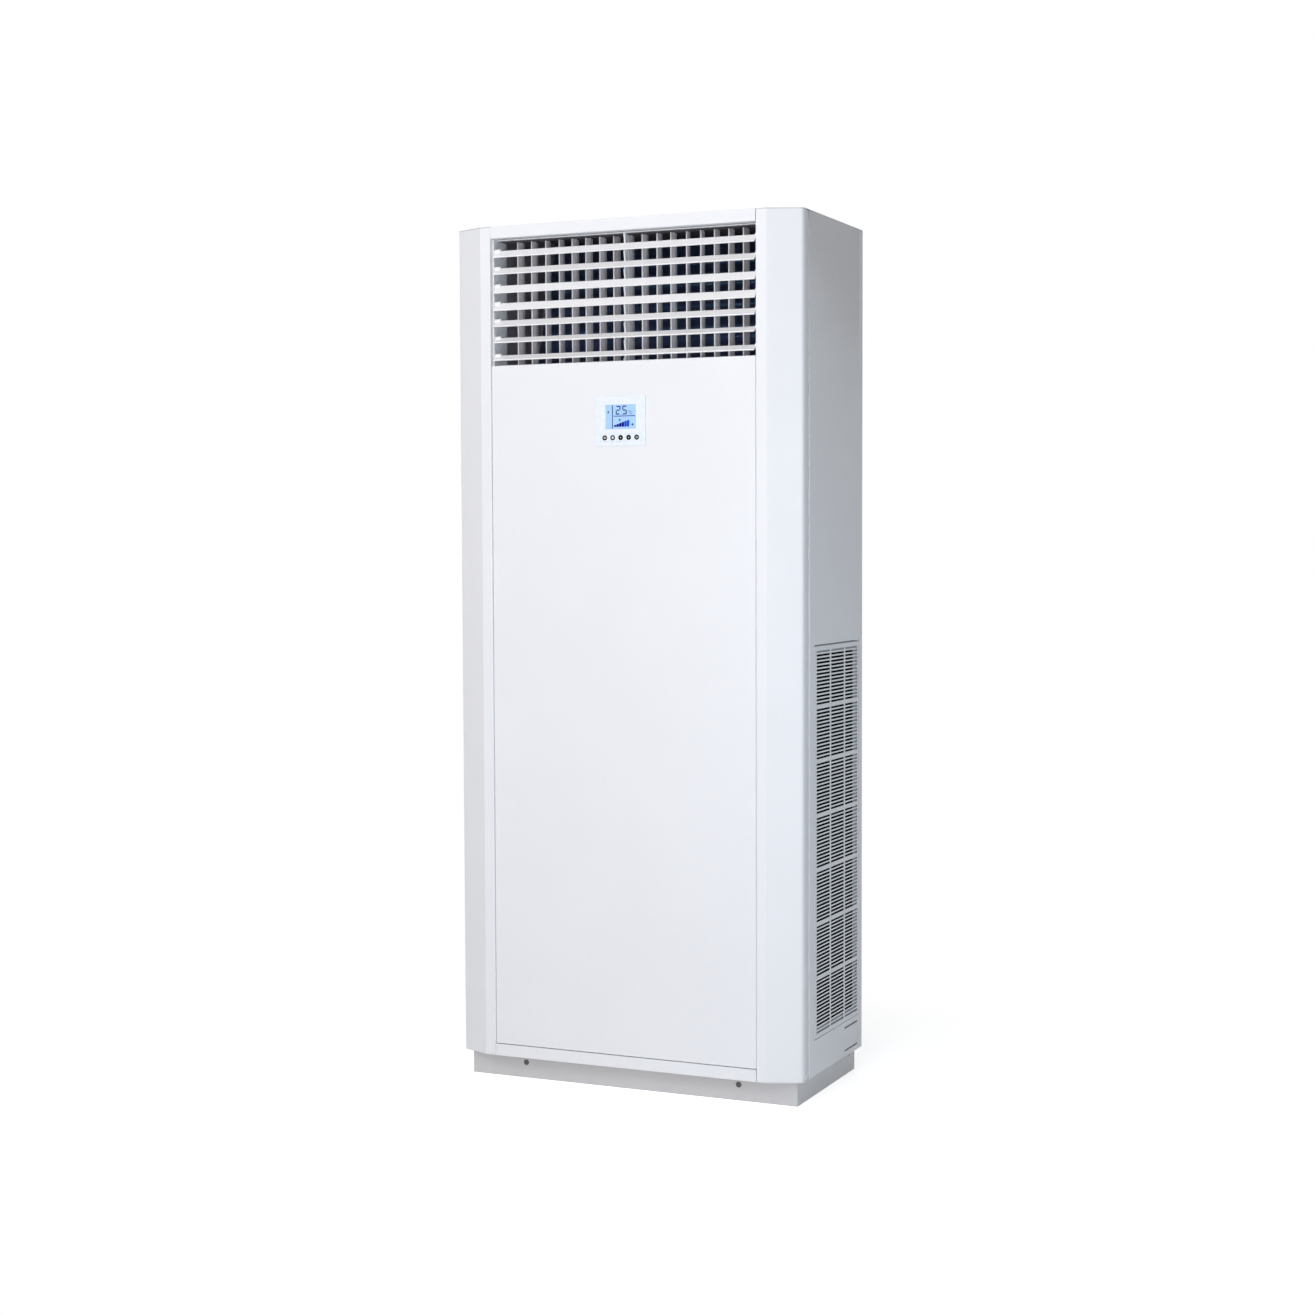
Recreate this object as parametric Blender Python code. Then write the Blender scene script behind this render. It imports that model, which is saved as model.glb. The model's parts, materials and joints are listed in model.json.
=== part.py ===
"""Floor standing air conditioner: a sheet metal cabinet on a plinth, with a
discharge opening of seven level louvres in front of seventeen upright vanes, a
leaning coil behind them, a control panel on the front and a slotted return
grille in each side.

Metres, +Z up. The front faces -Y, the origin is on the floor under the middle.
"""

import math

import bmesh
import bpy
from mathutils import Matrix, Vector

# Cabinet
WIDTH = 0.800
DEPTH = 0.400
HEIGHT = 1.850
GAP = 0.0003  # between pieces that rest on each other
SHEET = 0.0015  # thickness of the steel panels
FLANGE = 0.015  # folded edge of a panel

# Plinth
PLINTH_HEIGHT = 0.053
PLINTH_SIDE_SETBACK = 0.0174
PLINTH_FRONT_SETBACK = 0.0386
PLINTH_SHEET = 0.003
PLINTH_FOOT = 0.030  # flange that rests on the floor

# Folds and curves
ROUND_SIDES = 16
BEND_RADIUS = 0.0025  # outer radius of a folded edge
BEND_STEPS = 3
CORNER_STEPS = 6

# Corner posts
POST_FACE = 0.094  # width of a post seen from the front
POST_STRIP = 0.024  # flat front strip of a post
POST_CORNER_BACK = 0.0304  # how far the slanted face falls back
POST_CORNER_RADIUS = 0.011
POST_SIDE = 0.0645  # depth of a post, front to side panel
POST_RETURN = 0.020  # flange beside the front panel

# Front
BASE_RAIL = 0.026
TOP_RAIL = 0.026
TOP_RAIL_RETURN = 0.020
OUTLET_HEIGHT = 0.2715  # between the front panel and the top rail
FRONT_PANEL_RECESS = 0.0020
FRONT_PANEL_SHELF = 0.0245  # flange along its upper edge, under the discharge frame

# Control panel
BEZEL_WIDTH = 0.115
BEZEL_HEIGHT = 0.105
BEZEL_CENTRE_X = 0.0015
BEZEL_DROP = 0.0725  # below the front panel's upper edge
BEZEL_RIM = 0.0014
BEZEL_LIP = 0.004  # how far the rim laps over the front panel
BEZEL_BODY = 0.012
DISPLAY_WIDTH = 0.069
DISPLAY_HEIGHT = 0.050
DISPLAY_RISE = 0.036  # above the bezel's lower edge
DISPLAY_THICKNESS = 0.0015
KEY_COUNT = 5
KEY_PITCH = 0.0185
KEY_DIAMETER = 0.0105
KEY_RISE = 0.0175  # key centres above the bezel's lower edge
KEY_PROUD = 0.0003  # how far the keys stand out of the bezel
KEYPAD_HEIGHT = 0.015
KEYPAD_MARGIN = 0.006
KEYPAD_THICKNESS = 0.0006
FACE_RECESS = 0.0002  # display and keypad behind the bezel's face

# Discharge frame
FRAME_WALL = 0.0027
FRAME_SILL = 0.0022
FRAME_PORCH = 0.0124  # how far its floor and ceiling start behind its side walls
FRAME_SETBACK = 0.0106
FRAME_DEPTH = 0.0594
MULLION_WIDTH = 0.0036
MULLION_TOOTH = 0.0245  # front of the mullion's teeth, under each louvre
MULLION_ROOT = 0.0285  # front of the mullion between its teeth
MULLION_BACK = 0.0390
TOOTH_SPACE = 0.0128  # between a tooth and the pivot above it
TOOTH_FOOT = 0.0068  # between a tooth's lower end and the pivot below it

# Louvres, from the top down, each set by hand: how steeply its flat face falls
LOUVRE_SLOPES = (41.0, 37.0, 48.5, 48.0, 36.5, 27.0, 28.5)
LOUVRE_TOP_SPACE = 0.0271  # highest pivot below the top rail
LOUVRE_BOTTOM_SPACE = 0.0209  # lowest pivot above the front panel
LOUVRE_PIVOT = 0.018  # pivot behind the front plane
LOUVRE_REACH = 0.018  # from the pivot to the middle of the round nose
LOUVRE_ROOT_RADIUS = 0.0028
LOUVRE_NOSE_RADIUS = 0.0013
LOUVRE_ROOT_STEPS = 6
LOUVRE_NOSE_STEPS = 4
LOUVRE_END_CLEARANCE = 0.0055
LOUVRE_HUB_DIAMETER = 0.0132
LOUVRE_HUB_LENGTH = 0.014

# Vanes, from left to right, each set by hand: how far it turns to the left
VANE_TURNS = (-1, 2, 6, 5, -2, -3, -2.5, -3, 0, -1, 3.5, 0, 9.5, 7, 1, -1, -2)
VANE_PITCH = 0.0328
VANE_WALL_SPACE = 0.028  # least distance from an outer vane to the frame
VANE_FRONT = 0.045
VANE_CHORD = 0.030
VANE_THICKNESS = 0.0024
VANE_PIVOT_SHARE = 0.6
VANE_END_CLEARANCE = 0.0052
VANE_BOSS_DIAMETER = 0.007
VANE_BOSS_SIDES = 10

# Discharge duct and coil
DUCT_SIDE_SPACE = 0.002  # duct side inside the line of the posts
COIL_LEAN = 18.3  # degrees from upright
COIL_THICKNESS = 0.044
COIL_TOP_CLEARANCE = 0.012
COIL_BACK_SPACE = 0.0547  # between the coil's top and the back panel

# Return grille, one in each side
GRILLE_FRONT_MARGIN = 0.0285  # behind the joint of post and side panel
GRILLE_BACK_MARGIN = 0.0235
GRILLE_FOOT = 0.076  # above the cabinet's underside
GRILLE_TOP_GAP = 0.002
GRILLE_THICKNESS = 0.0025
GRILLE_INSET = 0.0004
GRILLE_MARGIN = 0.009
GRILLE_END_MARGIN = 0.0107  # below the first slot and above the last
GRILLE_COLUMNS = 3
GRILLE_MULLION = 0.0105
GRILLE_BLOCKS = 7
GRILLE_BLOCK_PITCH = 0.1142
SLOTS_IN_BLOCK = 14
SLOT_PITCH = 0.00777
SLOT_HEIGHT = 0.0039
SLOT_DROP = 0.0020  # how much lower a slot is at the back of the slats
SLAT_THICKNESS = 0.0025
SLAT_MARGIN = 0.002
FILTER_THICKNESS = 0.008

# Pipe knock-out, low at the rear of each side
KNOCKOUT_LENGTH = 0.077
KNOCKOUT_BACK_MARGIN = 0.039
KNOCKOUT_RISES = (0.0125, 0.0625)
KNOCKOUT_SLIT = 0.002

FRONT = -DEPTH / 2
BACK = DEPTH / 2
SIDE = WIDTH / 2
POST_INNER = SIDE - POST_FACE
CABINET_BOTTOM = PLINTH_HEIGHT
OUTLET_TOP = HEIGHT - TOP_RAIL
FRONT_PANEL_TOP = OUTLET_TOP - OUTLET_HEIGHT
DUCT_HALF_WIDTH = POST_INNER - DUCT_SIDE_SPACE


def start_clean():
    for item in list(bpy.data.objects):
        bpy.data.objects.remove(item)


def paint(name, colour, roughness, metallic):
    material = bpy.data.materials.new(name)
    material.use_nodes = True
    shader = material.node_tree.nodes["Principled BSDF"]
    shader.inputs["Base Color"].default_value = (*colour, 1.0)
    shader.inputs["Roughness"].default_value = roughness
    shader.inputs["Metallic"].default_value = metallic
    return material


def place(name, mesh, material, location=(0, 0, 0), rotation=(0, 0, 0)):
    """A named object that carries the mesh; its origin is its pivot."""
    item = bpy.data.objects.new(name, mesh)
    item.location = location
    item.rotation_euler = rotation
    bpy.context.scene.collection.objects.link(item)
    if not mesh.materials:
        mesh.materials.append(material)
    return item


def outlined(along, u, v, w):
    """The point with outline coordinates u and v at w along an axis."""
    return {"X": (w, u, v), "Y": (u, w, v), "Z": (u, v, w)}[along]


def prism(outline, low, high, along):
    """An outline extruded from low to high along one axis."""
    shape = bmesh.new()
    base = [shape.verts.new(outlined(along, u, v, low)) for u, v in outline]
    face = shape.faces.new(base)
    grown = bmesh.ops.extrude_face_region(shape, geom=[face])
    moved = [item for item in grown["geom"] if isinstance(item, bmesh.types.BMVert)]
    step = Vector(outlined(along, 0, 0, high - low))
    bmesh.ops.translate(shape, verts=moved, vec=step)
    return finished(shape)


def finished(shape):
    bmesh.ops.recalc_face_normals(shape, faces=shape.faces)
    mesh = bpy.data.meshes.new("shape")
    shape.to_mesh(mesh)
    shape.free()
    return mesh


def block(x, y, z):
    """A box from three pairs of limits."""
    corners = [(x[0], y[0]), (x[1], y[0]), (x[1], y[1]), (x[0], y[1])]
    return prism(corners, z[0], z[1], "Z")


def cylinder(centre, radius, length, along, sides=ROUND_SIDES):
    turn = {
        "X": Matrix.Rotation(math.pi / 2, 4, "Y"),
        "Y": Matrix.Rotation(math.pi / 2, 4, "X"),
        "Z": Matrix.Identity(4),
    }[along]
    shape = bmesh.new()
    bmesh.ops.create_cone(
        shape, cap_ends=True, segments=sides, radius1=radius, radius2=radius,
        depth=length, matrix=Matrix.Translation(centre) @ turn,
    )
    return finished(shape)


def combined(first, second, operation):
    """One shape joined to another, or cut by it."""
    base = bpy.data.objects.new("base", first)
    other = bpy.data.objects.new("other", second)
    for item in (base, other):
        bpy.context.scene.collection.objects.link(item)
    boolean = base.modifiers.new("boolean", "BOOLEAN")
    boolean.operation = operation
    boolean.object = other
    graph = bpy.context.evaluated_depsgraph_get()
    result = bpy.data.meshes.new_from_object(base.evaluated_get(graph))
    bpy.data.objects.remove(base)
    bpy.data.objects.remove(other)
    result.materials.clear()
    return result


def joined(*meshes):
    result = meshes[0]
    for mesh in meshes[1:]:
        result = combined(result, mesh, "UNION")
    return result


def cut(mesh, *cutters):
    for cutter in cutters:
        mesh = combined(mesh, cutter, "DIFFERENCE")
    return mesh


def mirrored(points):
    """Plan points of the right side, moved to the left and turned round."""
    return [(-x, y) for x, y in reversed(points)]


def fillet(before, corner, after, radius):
    """Points of the arc that rounds a corner between two straight runs."""
    corner = Vector(corner)
    inward = (Vector(before) - corner).normalized()
    outward = (Vector(after) - corner).normalized()
    half = inward.angle(outward) / 2
    centre = corner + (inward + outward).normalized() * (radius / math.sin(half))
    first = corner + inward * (radius / math.tan(half)) - centre
    last = corner + outward * (radius / math.tan(half)) - centre
    sweep = first.angle_signed(last)
    steps = CORNER_STEPS if radius > BEND_RADIUS else BEND_STEPS
    points = []
    for step in range(steps + 1):
        arm = Matrix.Rotation(-sweep * step / steps, 2) @ first
        points.append(tuple(centre + arm))
    return points


def bent(corners):
    """A path through corners given as (u, v, radius), rounded at each but the
    first and the last."""
    points = [corners[0][:2]]
    for before, corner, after in zip(corners, corners[1:], corners[2:]):
        points += fillet(before[:2], corner[:2], after[:2], corner[2])
    return [*points, corners[-1][:2]]


def sheet(path, thickness=SHEET):
    """The outline of a folded sheet whose outer skin is the path; the
    thickness lies on the path's left."""
    points = [Vector(point) for point in path]
    inner = []
    for index, point in enumerate(points):
        before = points[max(index - 1, 0)]
        after = points[min(index + 1, len(points) - 1)]
        first = (point - before if index else after - point).normalized()
        second = (after - point if index < len(points) - 1 else first).normalized()
        normals = [Vector((-run.y, run.x)) for run in (first, second)]
        middle = (normals[0] + normals[1]).normalized()
        inner.append(tuple(point + middle * (thickness / middle.dot(normals[0]))))
    return [tuple(point) for point in points] + inner[::-1]


def post_corners():
    """Plan corners of the right front post, from its strip to its side."""
    return [
        (POST_INNER + POST_STRIP, FRONT, BEND_RADIUS),
        (SIDE, FRONT + POST_CORNER_BACK, POST_CORNER_RADIUS),
    ]


def cabinet_plan():
    right = bent([
        (0, FRONT, 0), *post_corners(), (SIDE, BACK, BEND_RADIUS), (0, BACK, 0),
    ])[1:-1]
    return right + mirrored(right)


def make_plinth(steel):
    half = SIDE - PLINTH_SIDE_SETBACK
    front = FRONT + PLINTH_FRONT_SETBACK
    top = PLINTH_HEIGHT - GAP
    inner = half - PLINTH_SHEET
    foot = inner - PLINTH_FOOT
    ring = cut(
        block((-half, half), (front, BACK), (0, top)),
        block(
            (-inner, inner),
            (front + PLINTH_SHEET, BACK - PLINTH_SHEET),
            (PLINTH_SHEET, top + PLINTH_SHEET),
        ),
        block(
            (-foot, foot),
            (front + PLINTH_SHEET + PLINTH_FOOT, BACK - PLINTH_SHEET - PLINTH_FOOT),
            (-PLINTH_SHEET, 2 * PLINTH_SHEET),
        ),
    )
    place("plinth", ring, steel)


def make_base_pan(white):
    bottom = CABINET_BOTTOM
    floor = prism(cabinet_plan(), bottom, bottom + SHEET, "Z")
    half = POST_INNER - GAP
    rail = block((-half, half), (FRONT, FRONT + SHEET), (bottom, bottom + BASE_RAIL))
    place("base_pan", joined(floor, rail), white)


def make_top_cover(white):
    top = prism(cabinet_plan(), HEIGHT - SHEET, HEIGHT, "Z")
    half = POST_INNER - GAP
    path = bent([
        (FRONT, HEIGHT - SHEET / 2, 0),
        (FRONT, OUTLET_TOP, BEND_RADIUS),
        (FRONT + TOP_RAIL_RETURN, OUTLET_TOP, 0),
    ])
    rail = prism(sheet(path), -half, half, "X")
    place("top_cover", joined(top, rail), white)


def make_posts(white):
    path = bent([
        (POST_INNER, FRONT + POST_RETURN, 0),
        (POST_INNER, FRONT, BEND_RADIUS),
        *post_corners(),
        (SIDE, FRONT + POST_SIDE, BEND_RADIUS),
        (SIDE - FLANGE, FRONT + POST_SIDE, 0),
    ])
    outline = sheet(path)
    low, high = panel_heights()
    place("corner_post_right", prism(outline, low, high, "Z"), white)
    place("corner_post_left", prism(mirrored(outline), low, high, "Z"), white)


def panel_heights():
    """Lower and upper end of what stands between base pan and top cover."""
    return CABINET_BOTTOM + SHEET + GAP, HEIGHT - SHEET - GAP


def bezel_limits():
    low_x = BEZEL_CENTRE_X - BEZEL_WIDTH / 2
    top = FRONT_PANEL_TOP - BEZEL_DROP
    return (low_x, low_x + BEZEL_WIDTH), (top - BEZEL_HEIGHT, top)


def inset(limits, amount):
    return (limits[0] + amount, limits[1] - amount)


def make_front_panel(white):
    half = POST_INNER - GAP
    face = FRONT + FRONT_PANEL_RECESS
    path = bent([
        (-half, face + FLANGE, 0),
        (-half, face, BEND_RADIUS),
        (half, face, BEND_RADIUS),
        (half, face + FLANGE, 0),
    ])
    low = CABINET_BOTTOM + BASE_RAIL + GAP
    high = FRONT_PANEL_TOP - GAP
    panel = prism(sheet(path), low, high, "Z")
    inner = half - SHEET / 2
    shelf = block((-inner, inner), (face + SHEET / 2, face + FRONT_PANEL_SHELF), (high - SHEET, high))
    across, up = bezel_limits()
    window = block(
        inset(across, BEZEL_LIP - GAP), (face - FLANGE, face + FLANGE),
        inset(up, BEZEL_LIP - GAP),
    )
    place("front_panel", cut(joined(panel, shelf), window), white)


def make_control_panel(plastic, glass, rubber):
    across, up = bezel_limits()
    face = FRONT + KEY_PROUD
    rim_back = face + BEZEL_RIM
    rim = block(across, (face, rim_back), up)
    body = block(
        inset(across, BEZEL_LIP), (rim_back - BEZEL_RIM / 2, rim_back + BEZEL_BODY),
        inset(up, BEZEL_LIP),
    )
    display_x = across[0] + (BEZEL_WIDTH - DISPLAY_WIDTH) / 2
    display_z = up[0] + DISPLAY_RISE
    display = ((display_x, display_x + DISPLAY_WIDTH),
               (display_z, display_z + DISPLAY_HEIGHT))
    display_face = face + FACE_RECESS
    display_back = display_face + DISPLAY_THICKNESS
    half_pad = (KEY_COUNT - 1) * KEY_PITCH / 2 + KEY_DIAMETER / 2 + KEYPAD_MARGIN
    key_z = up[0] + KEY_RISE
    pad = ((BEZEL_CENTRE_X - half_pad, BEZEL_CENTRE_X + half_pad),
           (key_z - KEYPAD_HEIGHT / 2, key_z + KEYPAD_HEIGHT / 2))
    pad_face = face + FACE_RECESS
    pad_back = pad_face + KEYPAD_THICKNESS
    pockets = [
        block(inset(display[0], -GAP), (face - GAP, display_back + GAP), inset(display[1], -GAP)),
        block(inset(pad[0], -GAP), (face - GAP, pad_back + GAP), inset(pad[1], -GAP)),
    ]
    place("control_bezel", cut(joined(rim, body), *pockets), plastic)
    screen = block(display[0], (display_face, display_back), display[1])
    place("display_screen", screen, glass)
    keypad = block(pad[0], (pad_face, pad_back), pad[1])
    key_middle = (FRONT + pad_back - GAP) / 2
    for index in range(KEY_COUNT):
        offset = (index - (KEY_COUNT - 1) / 2) * KEY_PITCH
        centre = (BEZEL_CENTRE_X + offset, key_middle, key_z)
        length = pad_back - GAP - FRONT
        key = cylinder(centre, KEY_DIAMETER / 2, length, "Y")
        keypad = joined(keypad, key)
    place("keypad", keypad, rubber)


def grille_limits():
    rows = slot_rows()
    low = rows[0][0] - GRILLE_END_MARGIN
    high = rows[-1][-1] + SLOT_HEIGHT + GRILLE_END_MARGIN
    return (FRONT + POST_SIDE + GRILLE_FRONT_MARGIN, BACK - GRILLE_BACK_MARGIN), (low, high)


def make_side_panels(white):
    front = FRONT + POST_SIDE + GAP
    path = bent([
        (SIDE - FLANGE, front, 0),
        (SIDE, front, BEND_RADIUS),
        (SIDE, BACK, BEND_RADIUS),
        (SIDE - FLANGE, BACK, 0),
    ])
    panel = prism(sheet(path), *panel_heights(), "Z")
    deep, up = grille_limits()
    up = (up[0] - GAP, up[1] + GRILLE_TOP_GAP)
    through = (SIDE - 2 * FLANGE, SIDE + FLANGE)
    collar = block((SIDE - FLANGE, SIDE - SHEET / 2), inset(deep, -SHEET), inset(up, -SHEET))
    window = block(through, inset(deep, -GAP), up)
    slits = []
    slit_back = BACK - KNOCKOUT_BACK_MARGIN
    for rise in KNOCKOUT_RISES:
        low = CABINET_BOTTOM + rise - KNOCKOUT_SLIT / 2
        along = (slit_back - KNOCKOUT_LENGTH, slit_back)
        slits.append(block(through, along, (low, low + KNOCKOUT_SLIT)))
    right = cut(joined(panel, collar), window, *slits)
    place("side_panel_right", right, white)
    place("side_panel_left", flipped_over(right), white)


def flipped_over(mesh):
    """A left hand copy of a right hand mesh."""
    shape = bmesh.new()
    shape.from_mesh(mesh)
    for point in shape.verts:
        point.co.x = -point.co.x
    bmesh.ops.reverse_faces(shape, faces=shape.faces)
    return finished(shape)


def make_back_panel(white):
    half = SIDE - FLANGE - GAP
    path = bent([
        (half, BACK - FLANGE, 0),
        (half, BACK, BEND_RADIUS),
        (-half, BACK, BEND_RADIUS),
        (-half, BACK - FLANGE, 0),
    ])
    place("back_panel", prism(sheet(path), *panel_heights(), "Z"), white)


def slot_rows():
    """Lower edge of each slot, with one more at the bottom and at the top."""
    rows = []
    first = CABINET_BOTTOM + GRILLE_FOOT + GRILLE_END_MARGIN + SLOT_PITCH
    for number in range(GRILLE_BLOCKS):
        start = first + number * GRILLE_BLOCK_PITCH
        rows.append([start + index * SLOT_PITCH for index in range(SLOTS_IN_BLOCK)])
    rows[0].insert(0, rows[0][0] - SLOT_PITCH)
    rows[-1].append(rows[-1][-1] + SLOT_PITCH)
    return rows


def grille_columns():
    low, high = inset(grille_limits()[0], GRILLE_MARGIN)
    width = (high - low - (GRILLE_COLUMNS - 1) * GRILLE_MULLION) / GRILLE_COLUMNS
    starts = [low + index * (width + GRILLE_MULLION) for index in range(GRILLE_COLUMNS)]
    return [(start, start + width) for start in starts]


def pierced(limits, windows, low, high, drop=0.0):
    """A plate along X with a grid of windows, whose far side may be lower."""
    across, up = limits
    columns, rows = windows
    us = sorted({*across, *(edge for pair in columns for edge in pair)})
    vs = sorted({*up, *(edge for pair in rows for edge in pair)})
    shape = bmesh.new()
    grid = [[shape.verts.new((high, u, v)) for v in vs] for u in us]
    faces = []
    for i in range(len(us) - 1):
        for j in range(len(vs) - 1):
            open_here = (us[i], us[i + 1]) in columns and (vs[j], vs[j + 1]) in rows
            if not open_here:
                corners = (grid[i][j], grid[i + 1][j], grid[i + 1][j + 1], grid[i][j + 1])
                faces.append(shape.faces.new(corners))
    grown = bmesh.ops.extrude_face_region(shape, geom=faces)
    for item in grown["geom"]:
        if isinstance(item, bmesh.types.BMVert):
            inside = up[0] < item.co.z < up[1]
            item.co.x = low
            item.co.z -= drop if inside else 0.0
    return finished(shape)


def make_grilles(white, grey):
    deep, up = grille_limits()
    rows = slot_rows()
    windows = [(block_rows[0], block_rows[-1] + SLOT_HEIGHT) for block_rows in rows]
    face = SIDE - GRILLE_INSET
    back = face - GRILLE_THICKNESS
    frame = pierced((deep, up), (grille_columns(), windows), back, face)
    place("return_grille_right", frame, white)
    place("return_grille_left", flipped_over(frame), white)
    slots = [(low, low + SLOT_HEIGHT) for block_rows in rows for low in block_rows]
    slat_face = back - GAP
    slat_back = slat_face - SLAT_THICKNESS
    opening = [inset(deep, GRILLE_MARGIN - SLAT_MARGIN)]
    slats = pierced((deep, up), (opening, slots), slat_back, slat_face, SLOT_DROP)
    place("return_slats_right", slats, white)
    place("return_slats_left", flipped_over(slats), white)
    filter_face = slat_back - GAP
    pad = block((filter_face - FILTER_THICKNESS, filter_face), deep, up)
    place("filter_right", pad, grey)
    place("filter_left", flipped_over(pad), grey)


def frame_limits():
    """Inner width and height of the discharge frame."""
    half = POST_INNER - GAP - FRAME_WALL
    low = FRONT_PANEL_TOP + GAP + FRAME_SILL
    high = OUTLET_TOP - GAP - FRAME_SILL
    return (-half, half), (low, high)


def pivot_heights():
    """Height of each louvre's pivot, from the top down."""
    top = OUTLET_TOP - LOUVRE_TOP_SPACE
    gaps = len(LOUVRE_SLOPES) - 1
    pitch = (top - FRONT_PANEL_TOP - LOUVRE_BOTTOM_SPACE) / gaps
    return [top - index * pitch for index in range(gaps + 1)]


def mullion_outline():
    """Side view of the mullion: a tooth under the frame's top and under each
    louvre, which slants back to the next louvre."""
    up = inset(frame_limits()[1], -FRAME_SILL / 2)
    tooth = FRONT + MULLION_TOOTH
    root = FRONT + MULLION_ROOT
    back = FRONT + MULLION_BACK
    points = [(back, up[1]), (tooth, up[1])]
    for pivot in pivot_heights():
        points += [
            (root, pivot + TOOTH_FOOT), (root, pivot - TOOTH_SPACE),
            (tooth, pivot - TOOTH_SPACE),
        ]
    return [*points, (tooth, up[0]), (back, up[0])]


def make_discharge_frame(white):
    across, up = frame_limits()
    near = FRONT + FRAME_SETBACK
    far = near + FRAME_DEPTH
    outer = block(inset(across, -FRAME_WALL), (near, far), inset(up, -FRAME_SILL))
    inner = block(across, (near - FRAME_DEPTH, far + FRAME_DEPTH), up)
    porch = block(across, (near - FRAME_DEPTH, near + FRAME_PORCH), inset(up, -2 * FRAME_SILL))
    frame = cut(outer, inner, porch)
    half = MULLION_WIDTH / 2
    mullion = prism(mullion_outline(), -half, half, "X")
    place("discharge_frame", joined(frame, mullion), white)


def louvre_section():
    """Side view of a level louvre about its pivot: a thick root on the pivot
    and a thin nose in front, joined by their common tangents."""
    lean = math.asin((LOUVRE_ROOT_RADIUS - LOUVRE_NOSE_RADIUS) / LOUVRE_REACH)
    rounds = [
        (0, LOUVRE_ROOT_RADIUS, math.pi / 2 + lean, LOUVRE_ROOT_STEPS),
        (-LOUVRE_REACH, LOUVRE_NOSE_RADIUS, math.pi / 2 - lean, LOUVRE_NOSE_STEPS),
    ]
    points = []
    for middle, radius, reach, steps in rounds:
        facing = math.pi if middle else 0
        for step in range(steps + 1):
            angle = facing - reach + 2 * reach * step / steps
            points.append((middle + radius * math.cos(angle), radius * math.sin(angle)))
    return points


def make_louvres(white):
    across, _ = frame_limits()
    low, high = inset(across, LOUVRE_END_CLEARANCE)
    blade = prism(louvre_section(), low, high, "X")
    hub_middle = across[1] - GAP - LOUVRE_HUB_LENGTH / 2
    hubs = [
        cylinder((side * hub_middle, 0, 0), LOUVRE_HUB_DIAMETER / 2, LOUVRE_HUB_LENGTH, "X")
        for side in (-1, 1)
    ]
    mesh = joined(blade, *hubs)
    for index, (height, slope) in enumerate(zip(pivot_heights(), LOUVRE_SLOPES), start=1):
        pivot = (0, FRONT + LOUVRE_PIVOT, height)
        place(f"louvre_{index}", mesh, white, pivot, (math.radians(slope), 0, 0))


def vane_section():
    """Plan of a vane about its pivot: a thin plate with bevelled edges."""
    front = -VANE_PIVOT_SHARE * VANE_CHORD
    back = front + VANE_CHORD
    half = VANE_THICKNESS / 2
    right = [(half / 2, front), (half, front + half), (half, back - half), (half / 2, back)]
    return right + mirrored(right)


def make_vanes(grey):
    across, up = frame_limits()
    half_span = (up[1] - up[0]) / 2
    reach = half_span - VANE_END_CLEARANCE
    blade = prism(vane_section(), -reach, reach, "Z")
    bosses = [
        cylinder(
            (0, 0, side * (half_span - GAP - VANE_END_CLEARANCE)),
            VANE_BOSS_DIAMETER / 2, 2 * VANE_END_CLEARANCE, "Z", VANE_BOSS_SIDES,
        )
        for side in (-1, 1)
    ]
    mesh = joined(blade, *bosses)
    depth = FRONT + VANE_FRONT + VANE_PIVOT_SHARE * VANE_CHORD
    each_side = int((across[1] - VANE_WALL_SPACE) / VANE_PITCH)
    for index in range(2 * each_side + 1):
        pivot = ((index - each_side) * VANE_PITCH, depth, sum(up) / 2)
        turn = math.radians(VANE_TURNS[index % len(VANE_TURNS)])
        place(f"vane_{index + 1:02d}", mesh, grey, pivot, (0, 0, turn))


def make_duct(grey, fins):
    lean = math.radians(COIL_LEAN)
    floor_low = FRONT_PANEL_TOP + GAP
    floor_high = floor_low + SHEET
    start = FRONT + FRAME_SETBACK + FRAME_DEPTH + GAP
    thick = COIL_THICKNESS / math.cos(lean)
    low = floor_high + GAP
    high = HEIGHT - SHEET - COIL_TOP_CLEARANCE
    rise = (high - low) * math.tan(lean)
    foot = BACK - SHEET - COIL_BACK_SPACE - rise - thick
    half = DUCT_HALF_WIDTH - GAP
    floor = block((-half, half), (start, foot + thick), (floor_low, floor_high))
    place("duct_floor", floor, grey)
    coil = [
        (foot, low), (foot + thick, low), (foot + thick + rise, high), (foot + rise, high),
    ]
    place("coil", prism(coil, -half, half, "X"), fins)
    wall_top = HEIGHT - SHEET - GAP
    wall = [
        (start, floor_low), (foot + thick, floor_low),
        (foot + thick + rise, wall_top), (start, wall_top),
    ]
    side = prism(wall, DUCT_HALF_WIDTH, DUCT_HALF_WIDTH + SHEET, "X")
    place("duct_side_right", side, grey)
    place("duct_side_left", flipped_over(side), grey)


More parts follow.
